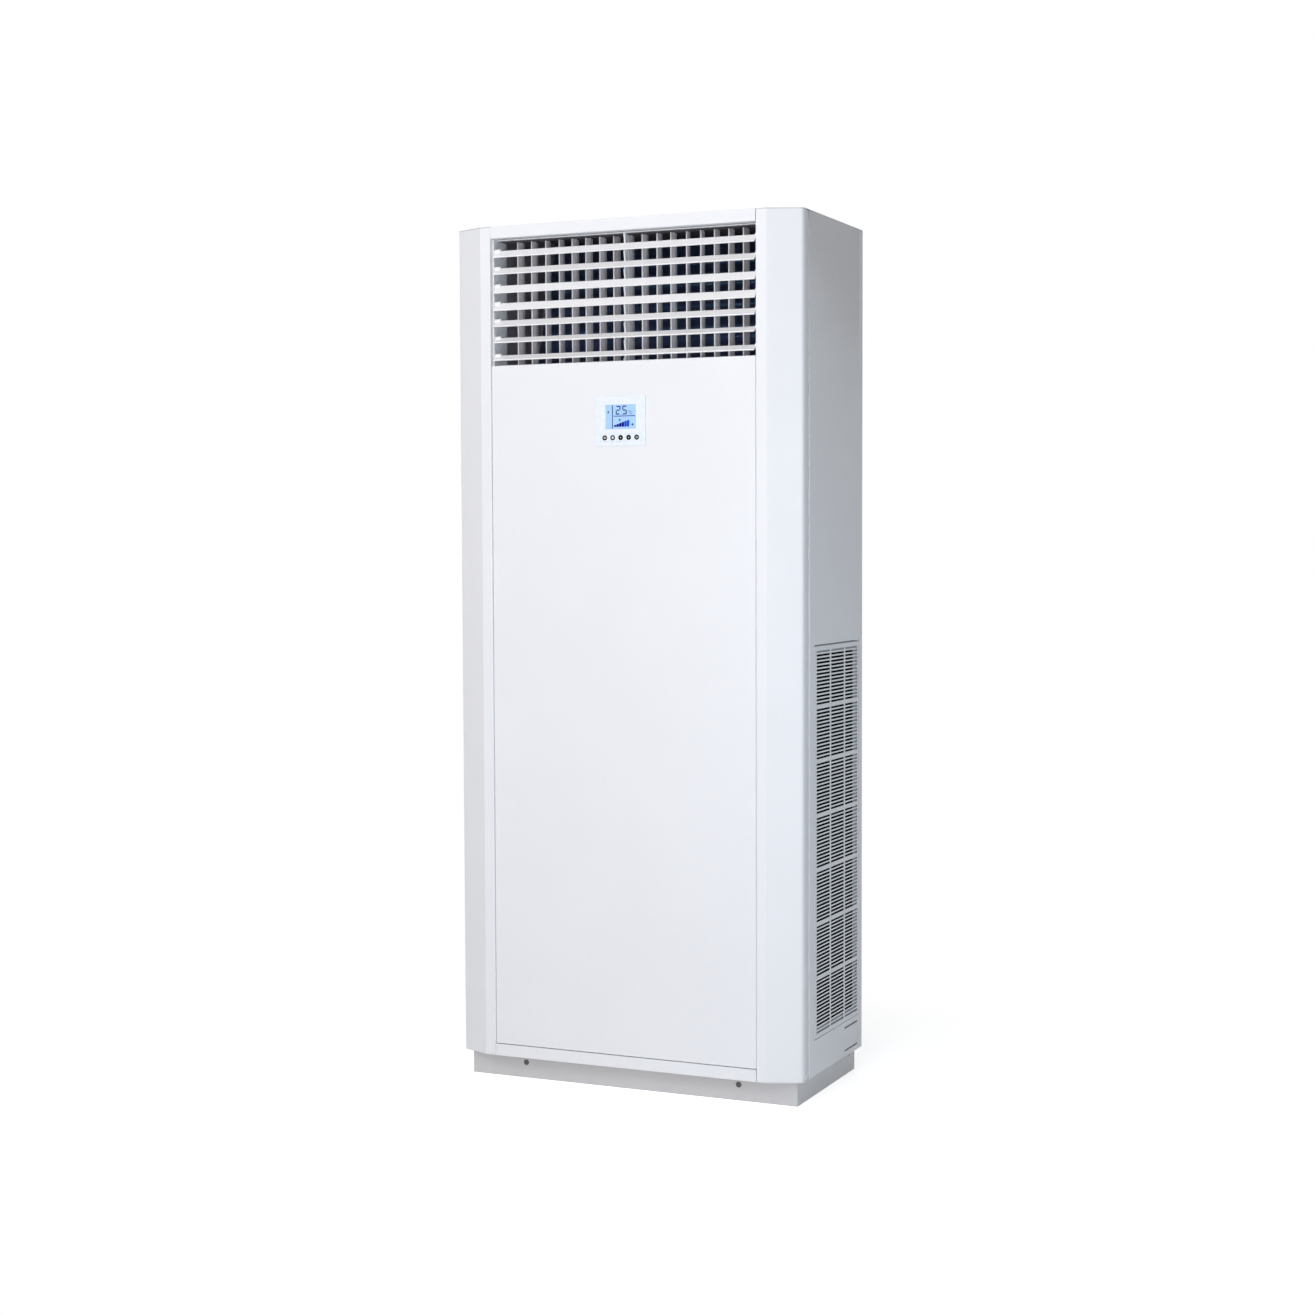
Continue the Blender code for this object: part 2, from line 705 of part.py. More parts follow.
def main():
    start_clean()
    white = paint("white_steel", (0.80, 0.81, 0.83), 0.35, 0.0)
    plastic = paint("white_plastic", (0.82, 0.83, 0.85), 0.3, 0.0)
    vane_grey = paint("grey_plastic", (0.35, 0.33, 0.33), 0.45, 0.0)
    duct_grey = paint("grey_steel", (0.30, 0.29, 0.29), 0.5, 0.2)
    fins = paint("blue_fins", (0.02, 0.05, 0.12), 0.4, 0.6)
    glass = paint("display_glass", (0.45, 0.66, 0.95), 0.15, 0.0)
    rubber = paint("key_rubber", (0.75, 0.77, 0.80), 0.5, 0.0)
    mesh_black = paint("filter_mesh", (0.03, 0.03, 0.03), 0.8, 0.0)
    make_plinth(white)
    make_base_pan(white)
    make_posts(white)
    make_front_panel(white)
    make_control_panel(plastic, glass, rubber)
    make_side_panels(white)
    make_back_panel(white)
    make_top_cover(white)
    make_grilles(white, mesh_black)
    make_discharge_frame(plastic)
    make_louvres(plastic)
    make_vanes(vane_grey)
    make_duct(duct_grey, fins)


main()
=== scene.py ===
import json
import math

import bmesh
import bpy
from mathutils import Matrix, Vector


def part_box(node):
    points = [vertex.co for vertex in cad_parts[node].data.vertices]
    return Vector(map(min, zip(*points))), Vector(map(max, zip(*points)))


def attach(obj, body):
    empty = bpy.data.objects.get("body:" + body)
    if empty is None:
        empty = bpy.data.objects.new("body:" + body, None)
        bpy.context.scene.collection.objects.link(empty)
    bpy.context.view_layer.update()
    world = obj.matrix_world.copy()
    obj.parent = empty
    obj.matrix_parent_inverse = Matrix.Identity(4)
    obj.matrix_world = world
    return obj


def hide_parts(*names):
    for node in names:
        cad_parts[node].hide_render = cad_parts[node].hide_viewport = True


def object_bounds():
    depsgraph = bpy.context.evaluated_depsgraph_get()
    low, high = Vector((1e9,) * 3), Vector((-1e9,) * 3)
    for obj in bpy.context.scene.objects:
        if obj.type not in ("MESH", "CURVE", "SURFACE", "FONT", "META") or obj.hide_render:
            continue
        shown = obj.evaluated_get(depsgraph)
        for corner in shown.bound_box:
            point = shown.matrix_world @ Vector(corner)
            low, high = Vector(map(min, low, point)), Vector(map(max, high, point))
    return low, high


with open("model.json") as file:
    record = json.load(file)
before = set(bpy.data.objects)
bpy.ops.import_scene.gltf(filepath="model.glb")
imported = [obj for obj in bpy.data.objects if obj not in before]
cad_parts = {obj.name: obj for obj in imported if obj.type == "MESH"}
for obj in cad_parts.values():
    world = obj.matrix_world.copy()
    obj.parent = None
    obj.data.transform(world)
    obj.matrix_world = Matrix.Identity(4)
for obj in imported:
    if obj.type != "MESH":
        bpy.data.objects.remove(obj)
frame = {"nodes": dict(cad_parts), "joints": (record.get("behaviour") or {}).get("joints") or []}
cadLow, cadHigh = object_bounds()
joints = {joint["child"]: joint for joint in frame["joints"]}
scene = bpy.context.scene


# Camera, at the height of a seated person's eyes and to the unit's right

view = {
    "place": (1.96165, -4.38365, 1.17213),
    "turn": 0.42171,
    "tip": -0.05242,
    "roll": -0.00353,
    "lens": 60.0,
    "sensor": 36.0,
}


def makeCamera():
    turn, tip = view["turn"], view["tip"]
    ahead = Vector((-math.sin(turn) * math.cos(tip), math.cos(turn) * math.cos(tip), math.sin(tip)))
    right = Vector((math.cos(turn), math.sin(turn), 0))
    up = right.cross(ahead)
    rolledRight = math.cos(view["roll"]) * right + math.sin(view["roll"]) * up
    rolledUp = math.cos(view["roll"]) * up - math.sin(view["roll"]) * right
    data = bpy.data.cameras.new("camera")
    data.lens = view["lens"]
    data.sensor_width = view["sensor"]
    camera = bpy.data.objects.new("camera", data)
    scene.collection.objects.link(camera)
    axes = Matrix((rolledRight, rolledUp, -ahead)).transposed().to_4x4()
    camera.matrix_world = Matrix.Translation(view["place"]) @ axes
    scene.camera = camera


makeCamera()
print("camera placed")


# Materials

def given(node, values):
    # constants on a node's sockets
    for label, value in values.items():
        node.inputs[label].default_value = value


def nodeTools(tree):
    def make(kind, sockets=None, **values):
        node = tree.nodes.new(kind)
        for label, value in values.items():
            setattr(node, label, value)
        given(node, sockets or {})
        return node
    return make, tree.links.new


def newMaterial(name, colour, roughness, metallic=0.0):
    material = bpy.data.materials.new(name)
    material.use_nodes = True
    shader = material.node_tree.nodes["Principled BSDF"]
    given(shader, {"Base Color": (*colour, 1), "Roughness": roughness, "Metallic": metallic})
    return material, shader


def noise(material, scale, detail=2.0, stretch=(1, 1, 1)):
    make, link = nodeTools(material.node_tree)
    coordinates = make("ShaderNodeTexCoord")
    mapping = make("ShaderNodeMapping", {"Scale": stretch})
    texture = make("ShaderNodeTexNoise", {"Scale": scale, "Detail": detail})
    link(coordinates.outputs["Object"], mapping.inputs["Vector"])
    link(mapping.outputs["Vector"], texture.inputs["Vector"])
    return texture.outputs["Fac"]


def dimmed(colour, share):
    return tuple(channel * share for channel in colour)


def tinted(material, shader, source, low, high):
    make, link = nodeTools(material.node_tree)
    ramp = make("ShaderNodeValToRGB")
    for stop, position, colour in zip(ramp.color_ramp.elements, (0.35, 0.65), (low, high)):
        stop.position = position
        stop.color = (*colour, 1)
    link(source, ramp.inputs["Fac"])
    link(ramp.outputs["Color"], shader.inputs["Base Color"])


def uneven(material, shader, source, low, high):
    make, link = nodeTools(material.node_tree)
    spread = make("ShaderNodeMapRange",
                  {"From Min": 0.3, "From Max": 0.7, "To Min": low, "To Max": high})
    link(source, spread.inputs["Value"])
    link(spread.outputs["Result"], shader.inputs["Roughness"])


def bumped(material, shader, source, strength, height, under=None):
    make, link = nodeTools(material.node_tree)
    bump = make("ShaderNodeBump", {"Strength": strength, "Distance": height})
    link(source, bump.inputs["Height"])
    if under:
        link(under, bump.inputs["Normal"])
    link(bump.outputs["Normal"], shader.inputs["Normal"])
    return bump.outputs["Normal"]


coat = {
    "colour": (0.800, 0.797, 0.825),
    # darker than the white coat: painted shade under the cabinet's overhang
    "plinthShadedColour": (0.585, 0.568, 0.575),
    "shade": 0.985,
    "roughness": (0.30, 0.38),
    "peelScale": 620,
    "peelHeight": 0.00004,
    "waveHeight": 0.0006,
}


def powderCoat(name, colour):
    material, shader = newMaterial(name, colour, 0.34)
    given(shader, {"Specular IOR Level": 0.45})
    tinted(material, shader, noise(material, 5, 3), dimmed(colour, coat["shade"]), colour)
    uneven(material, shader, noise(material, 22, 3), *coat["roughness"])
    wave = bumped(material, shader, noise(material, 2.2, 1), 0.35, coat["waveHeight"])
    bumped(material, shader, noise(material, coat["peelScale"], 2), 0.5, coat["peelHeight"], wave)
    return material


def mouldedPlastic(name, colour, roughness, grainScale=1500):
    material, shader = newMaterial(name, colour, roughness)
    tinted(material, shader, noise(material, 30, 3), dimmed(colour, 0.99), colour)
    uneven(material, shader, noise(material, 60, 2), roughness * 0.95, roughness * 1.06)
    bumped(material, shader, noise(material, grainScale, 2), 0.4, 0.00002)
    return material


def metalFinish(name, colour, roughness, metallic, stretch):
    material, shader = newMaterial(name, colour, roughness, metallic)
    tinted(material, shader, noise(material, 26, 4), dimmed(colour, 0.86), colour)
    streaks = noise(material, 90, 4, stretch)
    uneven(material, shader, streaks, roughness * 0.8, roughness * 1.2)
    bumped(material, shader, streaks, 0.3, 0.00003)
    return material


whiteCoat = powderCoat("whiteCoat", coat["colour"])
plinthShadeCoat = powderCoat("plinthShadeCoat", coat["plinthShadedColour"])
whitePlastic = mouldedPlastic("whitePlastic", (0.83, 0.835, 0.85), 0.27)
louvrePlastic = mouldedPlastic("louvrePlastic", (0.885, 0.875, 0.885), 0.24)
vanePlastic = mouldedPlastic("vanePlastic", (0.84, 0.815, 0.83), 0.38, 900)
filterPlastic = mouldedPlastic("filterPlastic", (0.55, 0.56, 0.60), 0.7)
ductSteel = metalFinish("ductSteel", (0.50, 0.46, 0.50), 0.46, 0.35, (1, 1, 9))
finBlue = metalFinish("finBlue", (0.13, 0.18, 0.36), 0.38, 0.25, (1, 4, 12))
tubeBlue = metalFinish("tubeBlue", (0.12, 0.36, 0.55), 0.30, 0.55, (0.2, 6, 6))
zincPlate = metalFinish("zincPlate", (0.42, 0.42, 0.40), 0.33, 0.9, (3, 3, 3))
darkZinc = metalFinish("darkZinc", (0.10, 0.10, 0.10), 0.45, 0.6, (3, 3, 3))
slatCoat = powderCoat("slatCoat", (0.89, 0.90, 0.92))
# painted shade: a near-black material for surfaces that sit in shade
paintedShade = mouldedPlastic("paintedShade", (0.11, 0.10, 0.11), 0.8)
darkPrint = mouldedPlastic("darkPrint", (0.006, 0.006, 0.007), 0.6)
given(darkPrint.node_tree.nodes["Principled BSDF"], {"Specular IOR Level": 0.12})
bezelPlastic = mouldedPlastic("bezelPlastic", (0.80, 0.84, 0.90), 0.27)
keyCap = mouldedPlastic("keyCap", (0.72, 0.74, 0.78), 0.45)


def weave(name, colour, pitch):
    material, shader = newMaterial(name, colour, 0.85)
    given(shader, {"Specular IOR Level": 0.04})
    make, link = nodeTools(material.node_tree)
    coordinates = make("ShaderNodeTexCoord")
    higher = make("ShaderNodeMath", operation="MAXIMUM")
    for socket, direction in zip(higher.inputs, "YZ"):
        wave = make("ShaderNodeTexWave", {"Scale": 1 / pitch / 3.2, "Distortion": 0},
                    bands_direction=direction)
        link(coordinates.outputs["Object"], wave.inputs["Vector"])
        link(wave.outputs["Fac"], socket)
    tinted(material, shader, higher.outputs["Value"], (0.004, 0.004, 0.006), colour)
    bumped(material, shader, higher.outputs["Value"], 0.8, 0.0003)
    return material


filterMesh = weave("filterMesh", (0.010, 0.010, 0.015), 0.0012)


def litPanel(name, colour, glow, shine=0.5):
    material, shader = newMaterial(name, colour, 0.18)
    given(shader, {"Specular IOR Level": shine, "Emission Color": (*colour, 1),
                   "Emission Strength": glow})
    tinted(material, shader, noise(material, 40, 2), dimmed(colour, 0.93), colour)
    bumped(material, shader, noise(material, 2500, 1), 0.1, 0.00001)
    return material


litBlue = litPanel("litBlue", (0.36, 0.565, 0.97), 0.14)
markBlue = litPanel("markBlue", (0.003, 0.010, 0.085), 0.01, 0.05)
barBlue = litPanel("barBlue", (0.0006, 0.0014, 0.20), 0.03, 0.04)
lastBarBlue = litPanel("lastBarBlue", (0.008, 0.07, 0.55), 0.05, 0.08)
print("materials mixed")


# Helpers for pieces

def linked(name, mesh):
    item = bpy.data.objects.new(name, mesh)
    scene.collection.objects.link(item)
    return item


def plainMesh(item):
    graph = bpy.context.evaluated_depsgraph_get()
    mesh = bpy.data.meshes.new_from_object(item.evaluated_get(graph))
    bpy.data.objects.remove(item)
    return mesh


def piece(name, mesh, material, body="cabinet", nodes=()):
    mesh.name = name
    if material:
        mesh.materials.clear()
        mesh.materials.append(material)
    item = linked(name, mesh)
    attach(item, body)
    if nodes:
        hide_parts(*nodes)


def meshFrom(shape):
    mesh = bpy.data.meshes.new("shape")
    shape.to_mesh(mesh)
    shape.free()
    return mesh


def smoothed(mesh, bevel=0.0, segments=2, angle=40, cutters=()):
    for polygon in mesh.polygons:
        polygon.use_smooth = True
    item = linked("smoothed", mesh)
    for cutter in cutters:
        boolean = item.modifiers.new("cut", "BOOLEAN")
        boolean.operation = "DIFFERENCE"
        boolean.object = cutter
    if bevel:
        edge = item.modifiers.new("edge", "BEVEL")
        edge.width = bevel
        edge.segments = segments
        edge.limit_method = "ANGLE"
        edge.angle_limit = math.radians(angle)
    weighted = item.modifiers.new("weighted", "WEIGHTED_NORMAL")
    weighted.keep_sharp = True
    done = plainMesh(item)
    for cutter in cutters:
        bpy.data.objects.remove(cutter)
    return done


def outward(shape):
    bmesh.ops.recalc_face_normals(shape, faces=shape.faces)
    return shape


def pulled(shape, step):
    # the shape's open faces given a thickness
    grown = bmesh.ops.extrude_face_region(shape, geom=list(shape.faces))
    moved = [part for part in grown["geom"] if isinstance(part, bmesh.types.BMVert)]
    bmesh.ops.translate(shape, verts=moved, vec=step)


def sliced(shape, place, normal):
    bmesh.ops.bisect_plane(shape, geom=[*shape.verts, *shape.edges, *shape.faces],
                           plane_co=place, plane_no=normal)


def bridged(shape, first, second):
    # faces between two rings of corners
    for n in range(len(first)):
        m = (n + 1) % len(first)
        shape.faces.new((first[n], first[m], second[m], second[n]))


def circle(radius, sides):
    turns = [2 * math.pi * n / sides for n in range(sides)]
    return [(radius * math.cos(turn), radius * math.sin(turn)) for turn in turns]


def boxShape(low, high):
    shape = bmesh.new()
    middle = [(a + b) / 2 for a, b in zip(low, high)]
    size = [b - a for a, b in zip(low, high)]
    place = Matrix.Translation(middle) @ Matrix.Diagonal((*size, 1))
    bmesh.ops.create_cube(shape, size=1, matrix=place)
    return shape


def cutterBox(low, high):
    return linked("cutter", meshFrom(boxShape(low, high)))


def extruded(outline, low, high, axis):
    spots = {"X": lambda u, v, w: (w, u, v), "Y": lambda u, v, w: (u, w, v),
             "Z": lambda u, v, w: (u, v, w)}[axis]
    shape = bmesh.new()
    shape.faces.new([shape.verts.new(spots(u, v, low)) for u, v in outline])
    pulled(shape, Vector(spots(0, 0, high - low)))
    return outward(shape)


def turnedShape(profile, sides=32):
    # profile of (radius, height) pairs, closed by poles on the axis
    shape = bmesh.new()
    rings = []
    for radius, height in profile:
        spots = [(0, 0)] if radius < 1e-7 else circle(radius, sides)
        rings.append([shape.verts.new((x, y, height)) for x, y in spots])
    for lower, upper in zip(rings, rings[1:]):
        for n in range(sides):
            corners = [lower[n % len(lower)], lower[(n + 1) % len(lower)],
                       upper[(n + 1) % len(upper)], upper[n % len(upper)]]
            unique = list(dict.fromkeys(corners))
            if len(unique) > 2:
                shape.faces.new(unique)
    return outward(shape)


def merged(*shapes):
    whole = bmesh.new()
    for shape in shapes:
        part = meshFrom(shape)
        whole.from_mesh(part)
        bpy.data.meshes.remove(part)
    return whole


def cadCopy(node):
    shape = bmesh.new()
    shape.from_mesh(frame["nodes"][node].data)
    bmesh.ops.remove_doubles(shape, verts=shape.verts, dist=0.00001)
    bmesh.ops.dissolve_limit(
        shape, angle_limit=math.radians(0.6), verts=shape.verts, edges=shape.edges,
    )
    return meshFrom(shape)


softEdge = 0.0003


def skin(node, material, mesh=None, cutters=()):
    # the node's own form with soft edges
    mesh = smoothed(mesh or cadCopy(node), softEdge, cutters=cutters)
    piece(node + "_skin", mesh, material, nodes=(node,))


# Copies by node groups

def makeGroup(name, labels, spreading):
    tree = bpy.data.node_groups.new(name, "GeometryNodeTree")
    tree.is_modifier = True
    sockets = {}
    for label, kind in (("Geometry", "Geometry"), *labels, ("Finish", "Material")):
        socket = tree.interface.new_socket(
            name=label, in_out="INPUT", socket_type="NodeSocket" + kind,
        )
        sockets[label] = socket.identifier
    tree.interface.new_socket(name="Geometry", in_out="OUTPUT", socket_type="NodeSocketGeometry")
    make, link = nodeTools(tree)
    inputs = make("NodeGroupInput").outputs
    outputs = make("NodeGroupOutput")
    real = make("GeometryNodeRealizeInstances")
    finish = make("GeometryNodeSetMaterial")
    link(spreading(make, link, inputs), real.inputs["Geometry"])
    link(real.outputs["Geometry"], finish.inputs["Geometry"])
    link(inputs["Finish"], finish.inputs["Material"])
    link(finish.outputs["Geometry"], outputs.inputs["Geometry"])
    return tree, sockets


def grownBy(group, mesh, values):
    tree, sockets = group
    holder = linked("holder", mesh)
    modifier = holder.modifiers.new("group", "NODES")
    modifier.node_group = tree
    for label, value in values.items():
        modifier[sockets[label]] = value
    done = plainMesh(holder)
    bpy.data.objects.remove(values["Shape"])
    return done


def nestedRows(make, link, inputs):
    shape = make("GeometryNodeObjectInfo", transform_space="ORIGINAL")
    link(inputs["Shape"], shape.inputs["Object"])
    source = shape.outputs["Geometry"]
    for count, step in (("Rows", "Row Step"), ("Columns", "Column Step"), ("Blocks", "Block Step")):
        line = make("GeometryNodeMeshLine", mode="OFFSET")
        spread = make("GeometryNodeInstanceOnPoints")
        link(inputs[count], line.inputs["Count"])
        link(inputs[step], line.inputs["Offset"])
        if count == "Blocks":
            link(inputs["Start"], line.inputs["Start Location"])
        link(line.outputs["Mesh"], spread.inputs["Points"])
        link(source, spread.inputs["Instance"])
        source = spread.outputs["Instances"]
    return source


rowsGroup = makeGroup("rowsOfShapes", (
    ("Shape", "Object"), ("Start", "Vector"), ("Rows", "Int"), ("Row Step", "Vector"),
    ("Columns", "Int"), ("Column Step", "Vector"), ("Blocks", "Int"), ("Block Step", "Vector"),
), nestedRows)
oneOnly = (1, (0, 0, 0))


def rowsOf(shapeMesh, finish, start, rows=oneOnly, columns=oneOnly, blocks=oneOnly):
    return grownBy(rowsGroup, bpy.data.meshes.new("holder"), {
        "Shape": linked("oneShape", shapeMesh), "Start": start, "Rows": rows[0],
        "Row Step": rows[1], "Columns": columns[0], "Column Step": columns[1],
        "Blocks": blocks[0], "Block Step": blocks[1], "Finish": finish,
    })


# Screws with a cross recess, each turned by chance

screwSeed = 3


def turnedScrews(make, link, inputs):
    screw = make("GeometryNodeObjectInfo", transform_space="ORIGINAL")
    spread = make("GeometryNodeInstanceOnPoints")
    spin = make("GeometryNodeRotateInstances", {"Local Space": True})
    chance = make("FunctionNodeRandomValue", data_type="FLOAT_VECTOR")
    given(chance, {"Min": (0, 0, 0), "Max": (0, 0, 3.14)})
    align = make("FunctionNodeAlignRotationToVector", axis="Z")
    link(inputs["Shape"], screw.inputs["Object"])
    link(inputs["Geometry"], spread.inputs["Points"])
    link(screw.outputs["Geometry"], spread.inputs["Instance"])
    link(inputs["Facing"], align.inputs["Vector"])
    link(align.outputs["Rotation"], spread.inputs["Rotation"])
    link(inputs["Seed"], chance.inputs["Seed"])
    link(spread.outputs["Instances"], spin.inputs["Instances"])
    link(chance.outputs["Value"], spin.inputs["Rotation"])
    return spin.outputs["Instances"]


screwGroup = makeGroup("screwsOnPoints", (
    ("Shape", "Object"), ("Facing", "Vector"), ("Seed", "Int"),
), turnedScrews)


def screwHead(radius, height, washer=0.0):
    # underside at zero, dome towards +Z, with a cross cut into it
    profile = [(0, -0.001), (radius * 0.5, -0.001), (radius * 0.5, 0)]
    if washer:
        profile += [(washer, 0), (washer, 0.0007), (radius, 0.0009)]
    profile += [(radius, height * 0.45), (radius * 0.93, height * 0.72),
                (radius * 0.72, height * 0.93), (radius * 0.4, height), (0, height)]
    head = meshFrom(turnedShape(profile, 28))
    arm, wing = radius * 0.52, radius * 0.13
    first = cutterBox((-arm, -wing, height * 0.35), (arm, wing, height * 2))
    second = cutterBox((-wing, -arm, height * 0.35), (wing, arm, height * 2))
    return smoothed(head, 0.00006, 1, 50, (first, second))


def screwsAt(spots, facing, radius, height, washer=0.0, metal=zincPlate):
    points = bpy.data.meshes.new("spots")
    points.from_pydata(spots, [], [])
    return grownBy(screwGroup, points, {
        "Shape": linked("screw", screwHead(radius, height, washer)), "Facing": facing,
        "Seed": screwSeed, "Finish": metal,
    })


# Sheet metal of the cabinet

sheetMetal = {
    "stripFall": 0.0028,
    "stripZone": (0.004, 0.006),
    "lipWidth": 0.0036,
    "lipFall": 0.0012,
    "plain": ("base_pan", "corner_post_left", "corner_post_right", "top_cover"),
    # zone and depths of the dark sheet behind the knock-out's slits, painted shade
    "slitShadeZone": ((0.080, 0.174), (0.060, 0.122)),
    "slitShadeDepths": (0.0018, 0.0030),
    "slitDepth": 0.004,
    "slitBelow": 0.0009,
    "slitAbove": 0.0021,
    "jointLeft": 0.0004,
    "jointRight": 0.0005,
    "jointBelow": 0.0008,
    "scoreWidth": 0.0007,
    "scoreDepth": 0.0006,
    "scoreSpots": (0.0838, 0.1700),
    "scoreHeights": (0.0655, 0.1155),
    "backScrewRows": (0.16, 0.58, 1.00, 1.42, 1.78),
    "backScrewInset": 0.026,
    "backScrewRadius": 0.0040,
    "dimpleRadius": 0.0058,
    "dimpleDepth": 0.0011,
}


def openingLip(node, side, face):
    # the rear edge of the grille's opening is pressed inward
    shape = bmesh.new()
    shape.from_mesh(cadCopy(node))
    width, fall = sheetMetal["lipWidth"], sheetMetal["lipFall"]
    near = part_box("return_grille_" + side)[1].y
    edge = min((vertex.co.y for vertex in shape.verts if vertex.co.y > near), default=near)
    levels = [vertex.co.z for vertex in shape.verts if abs(vertex.co.y - edge) < 0.00001]
    low, high = min(levels), max(levels)
    cuts = [((0, edge, 0), (0, 1, 0)), ((0, edge + width, 0), (0, 1, 0))]
    cuts += [((0, 0, z), (0, 0, 1)) for z in (low - width, low, high, high + width)]
    for place, normal in cuts:
        sliced(shape, place, normal)
    for vertex in shape.verts:
        inside = low - 0.0001 < vertex.co.z < high + 0.0001
        if inside and abs(vertex.co.y - edge) < 0.00005 and abs(vertex.co.x - face) < 0.00005:
            vertex.co.x -= math.copysign(fall, face)
    return meshFrom(shape)


def makeSheetMetal():
    for node in sheetMetal["plain"]:
        mesh = cadCopy(node)
        if "post" in node:
            # the strip beside the side panel falls back a little
            beside, behind = sheetMetal["stripZone"]
            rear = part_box(node)[1].y - behind
            for vertex in mesh.vertices:
                if abs(vertex.co.x) > cadHigh.x - beside and vertex.co.y > rear:
                    vertex.co.x -= math.copysign(sheetMetal["stripFall"], vertex.co.x)
        mesh.materials.append(whiteCoat)
        mesh.materials.append(paintedShade)
        # down-facing faces near the top take the dark material as painted shade
        for polygon in mesh.polygons:
            shadedUnderside = polygon.normal.z < -0.9 and polygon.center.z > cadHigh.z - 0.01
            polygon.material_index = 1 if shadedUnderside else 0
        skin(node, None, mesh)
    # the plinth's darker coat is painted shade under the overhang
    skin("plinth", plinthShadeCoat)
    for side in ("left", "right"):
        sign = 1 if side == "right" else -1
        face = cadHigh.x * sign
        width, depth = sheetMetal["scoreWidth"], sheetMetal["scoreDepth"]
        cutters = []
        low, high = sheetMetal["scoreHeights"]
        for spot in sheetMetal["scoreSpots"]:
            ends = sorted((face - sign * depth, face + sign * depth))
            cutters.append(cutterBox((ends[0], spot, low), (ends[1], spot + width, high)))
        near, far = sheetMetal["scoreSpots"]
        for height in (low, high):
            ends = sorted((face - sign * sheetMetal["slitDepth"], face + sign * depth))
            low, high = height - sheetMetal["slitBelow"], height + sheetMetal["slitAbove"]
            cutters.append(cutterBox((ends[0], near + width, low), (ends[1], far, high)))
        node = "side_panel_" + side
        skin(node, whiteCoat, openingLip(node, side, face), cutters)
        # a dark sheet behind the slits: painted shade for the cabinet's dim inside
        (near, far), (low, high) = sheetMetal["slitShadeZone"]
        ends = sorted(face - sign * depth for depth in sheetMetal["slitShadeDepths"])
        slitShadeZone = meshFrom(boxShape((ends[0], near, low), (ends[1], far, high)))
        piece("knockout_lining_" + side, slitShadeZone, filterMesh)


def makeFrontPanel():
    low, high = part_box("front_panel")
    past = Vector((0.01, 0.01, 0.01))
    near, far = low - past, high + past
    far.y = high.y
    cutters = [
        cutterBox(near, (low.x + sheetMetal["jointLeft"], far.y, far.z)),
        cutterBox((high.x - sheetMetal["jointRight"], near.y, near.z), far),
        cutterBox(near, (far.x, far.y, low.z + sheetMetal["jointBelow"])),
    ]
    skin("front_panel", whiteCoat, cutters=cutters)


def makeBackPanel():
    low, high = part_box("back_panel")
    spots = [(sign * (high.x - sheetMetal["backScrewInset"]), height)
             for height in sheetMetal["backScrewRows"] for sign in (-1, 1)]
    radius, depth = sheetMetal["dimpleRadius"], sheetMetal["dimpleDepth"]
    cutters = []
    for x, z in spots:
        profile = [(0, -depth), (radius - depth, -depth), (radius, 0.0001), (radius, depth),
                   (0, depth)]
        shape = turnedShape(profile)
        shape.transform(Matrix.Translation((x, high.y, z)) @ Matrix.Rotation(-math.pi / 2, 4, "X"))
        cutters.append(linked("cutter", meshFrom(shape)))
    skin("back_panel", whiteCoat, cutters=cutters)
    places = [(x, high.y - depth, z) for x, z in spots]
    screws = screwsAt(places, (0, 1, 0), sheetMetal["backScrewRadius"], depth * 0.95)
    piece("back_panel_screws", screws, None)


makeSheetMetal()
makeFrontPanel()
makeBackPanel()
print("sheet metal folded")


plinthScrews = {
    "spots": ((-0.251, 0.034), (0.251, 0.034)),
    "radius": 0.0042,
    "height": 0.0022,
    "washer": 0.0062,
    "sideSpot": (0.163, 0.039),
    "sideRadius": 0.0030,
    "sideHeight": 0.0016,
}


def makePlinthScrews():
    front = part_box("plinth")[0].y
    places = [(x, front, z) for x, z in plinthScrews["spots"]]
    mesh = screwsAt(places, (0, -1, 0), plinthScrews["radius"], plinthScrews["height"],
                    plinthScrews["washer"], metal=darkZinc)
    piece("plinth_screws", mesh, None)
    for name, sign in (("left", -1), ("right", 1)):
        place = (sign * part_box("plinth")[1].x, *plinthScrews["sideSpot"])
        mesh = screwsAt([place], (sign, 0, 0), plinthScrews["sideRadius"],
                        plinthScrews["sideHeight"])
        piece("plinth_side_screw_" + name, mesh, None)


makePlinthScrews()
print("plinth screws set")


# Return grilles with their slats and filters

grille = {
    "slotPitch": 0.00777,
    "slotHeight": 0.0046,
    "cadSlot": 0.0039,
    "slotsInBlock": 14,
    "blockPitch": 0.1142,
    "blocks": 7,
    "columns": 3,
    "mullion": 0.0075,
    "firstColumn": 0.0155,
    "columnWidth": 0.0818,
    "sheet": 0.0008,
    "gap": 0.0009,
    "topGap": 0.0013,
    "rearGap": 0.0020,
    "lipWidth": 0.0036,
    "lipFall": 0.0012,
    "endMargin": 0.0107,
    "slatDepth": 0.0014,
    "slatInset": 0.0003,
    "slatDrop": 0.0005,
    "frameWidths": (0.014, 0.021, 0.021, 0.0168),
    "meshRecess": 0.0016,
}


def slatMesh(length):
    # a bar with rounded front edges whose back sits a little lower
    half = (grille["slotPitch"] - grille["slotHeight"]) / 2
    depth, drop, curve = grille["slatDepth"], grille["slatDrop"], 0.0007
    outline = []
    for step in range(5):
        angle = math.pi / 2 * step / 4
        outline.append((-curve + curve * math.sin(angle), half - curve + curve * math.cos(angle)))
    for step in range(5):
        angle = math.pi / 2 * (1 - step / 4)
        outline.append((-curve + curve * math.sin(angle), -half + curve - curve * math.cos(angle)))
    outline += [(-depth, -half - drop), (-depth, half - drop)]
    mesh = meshFrom(extruded(outline, 0, length, "Y"))
    for polygon in mesh.polygons:
        polygon.use_smooth = len(polygon.vertices) == 4
    mesh.set_sharp_from_angle(angle=math.radians(40))
    return mesh


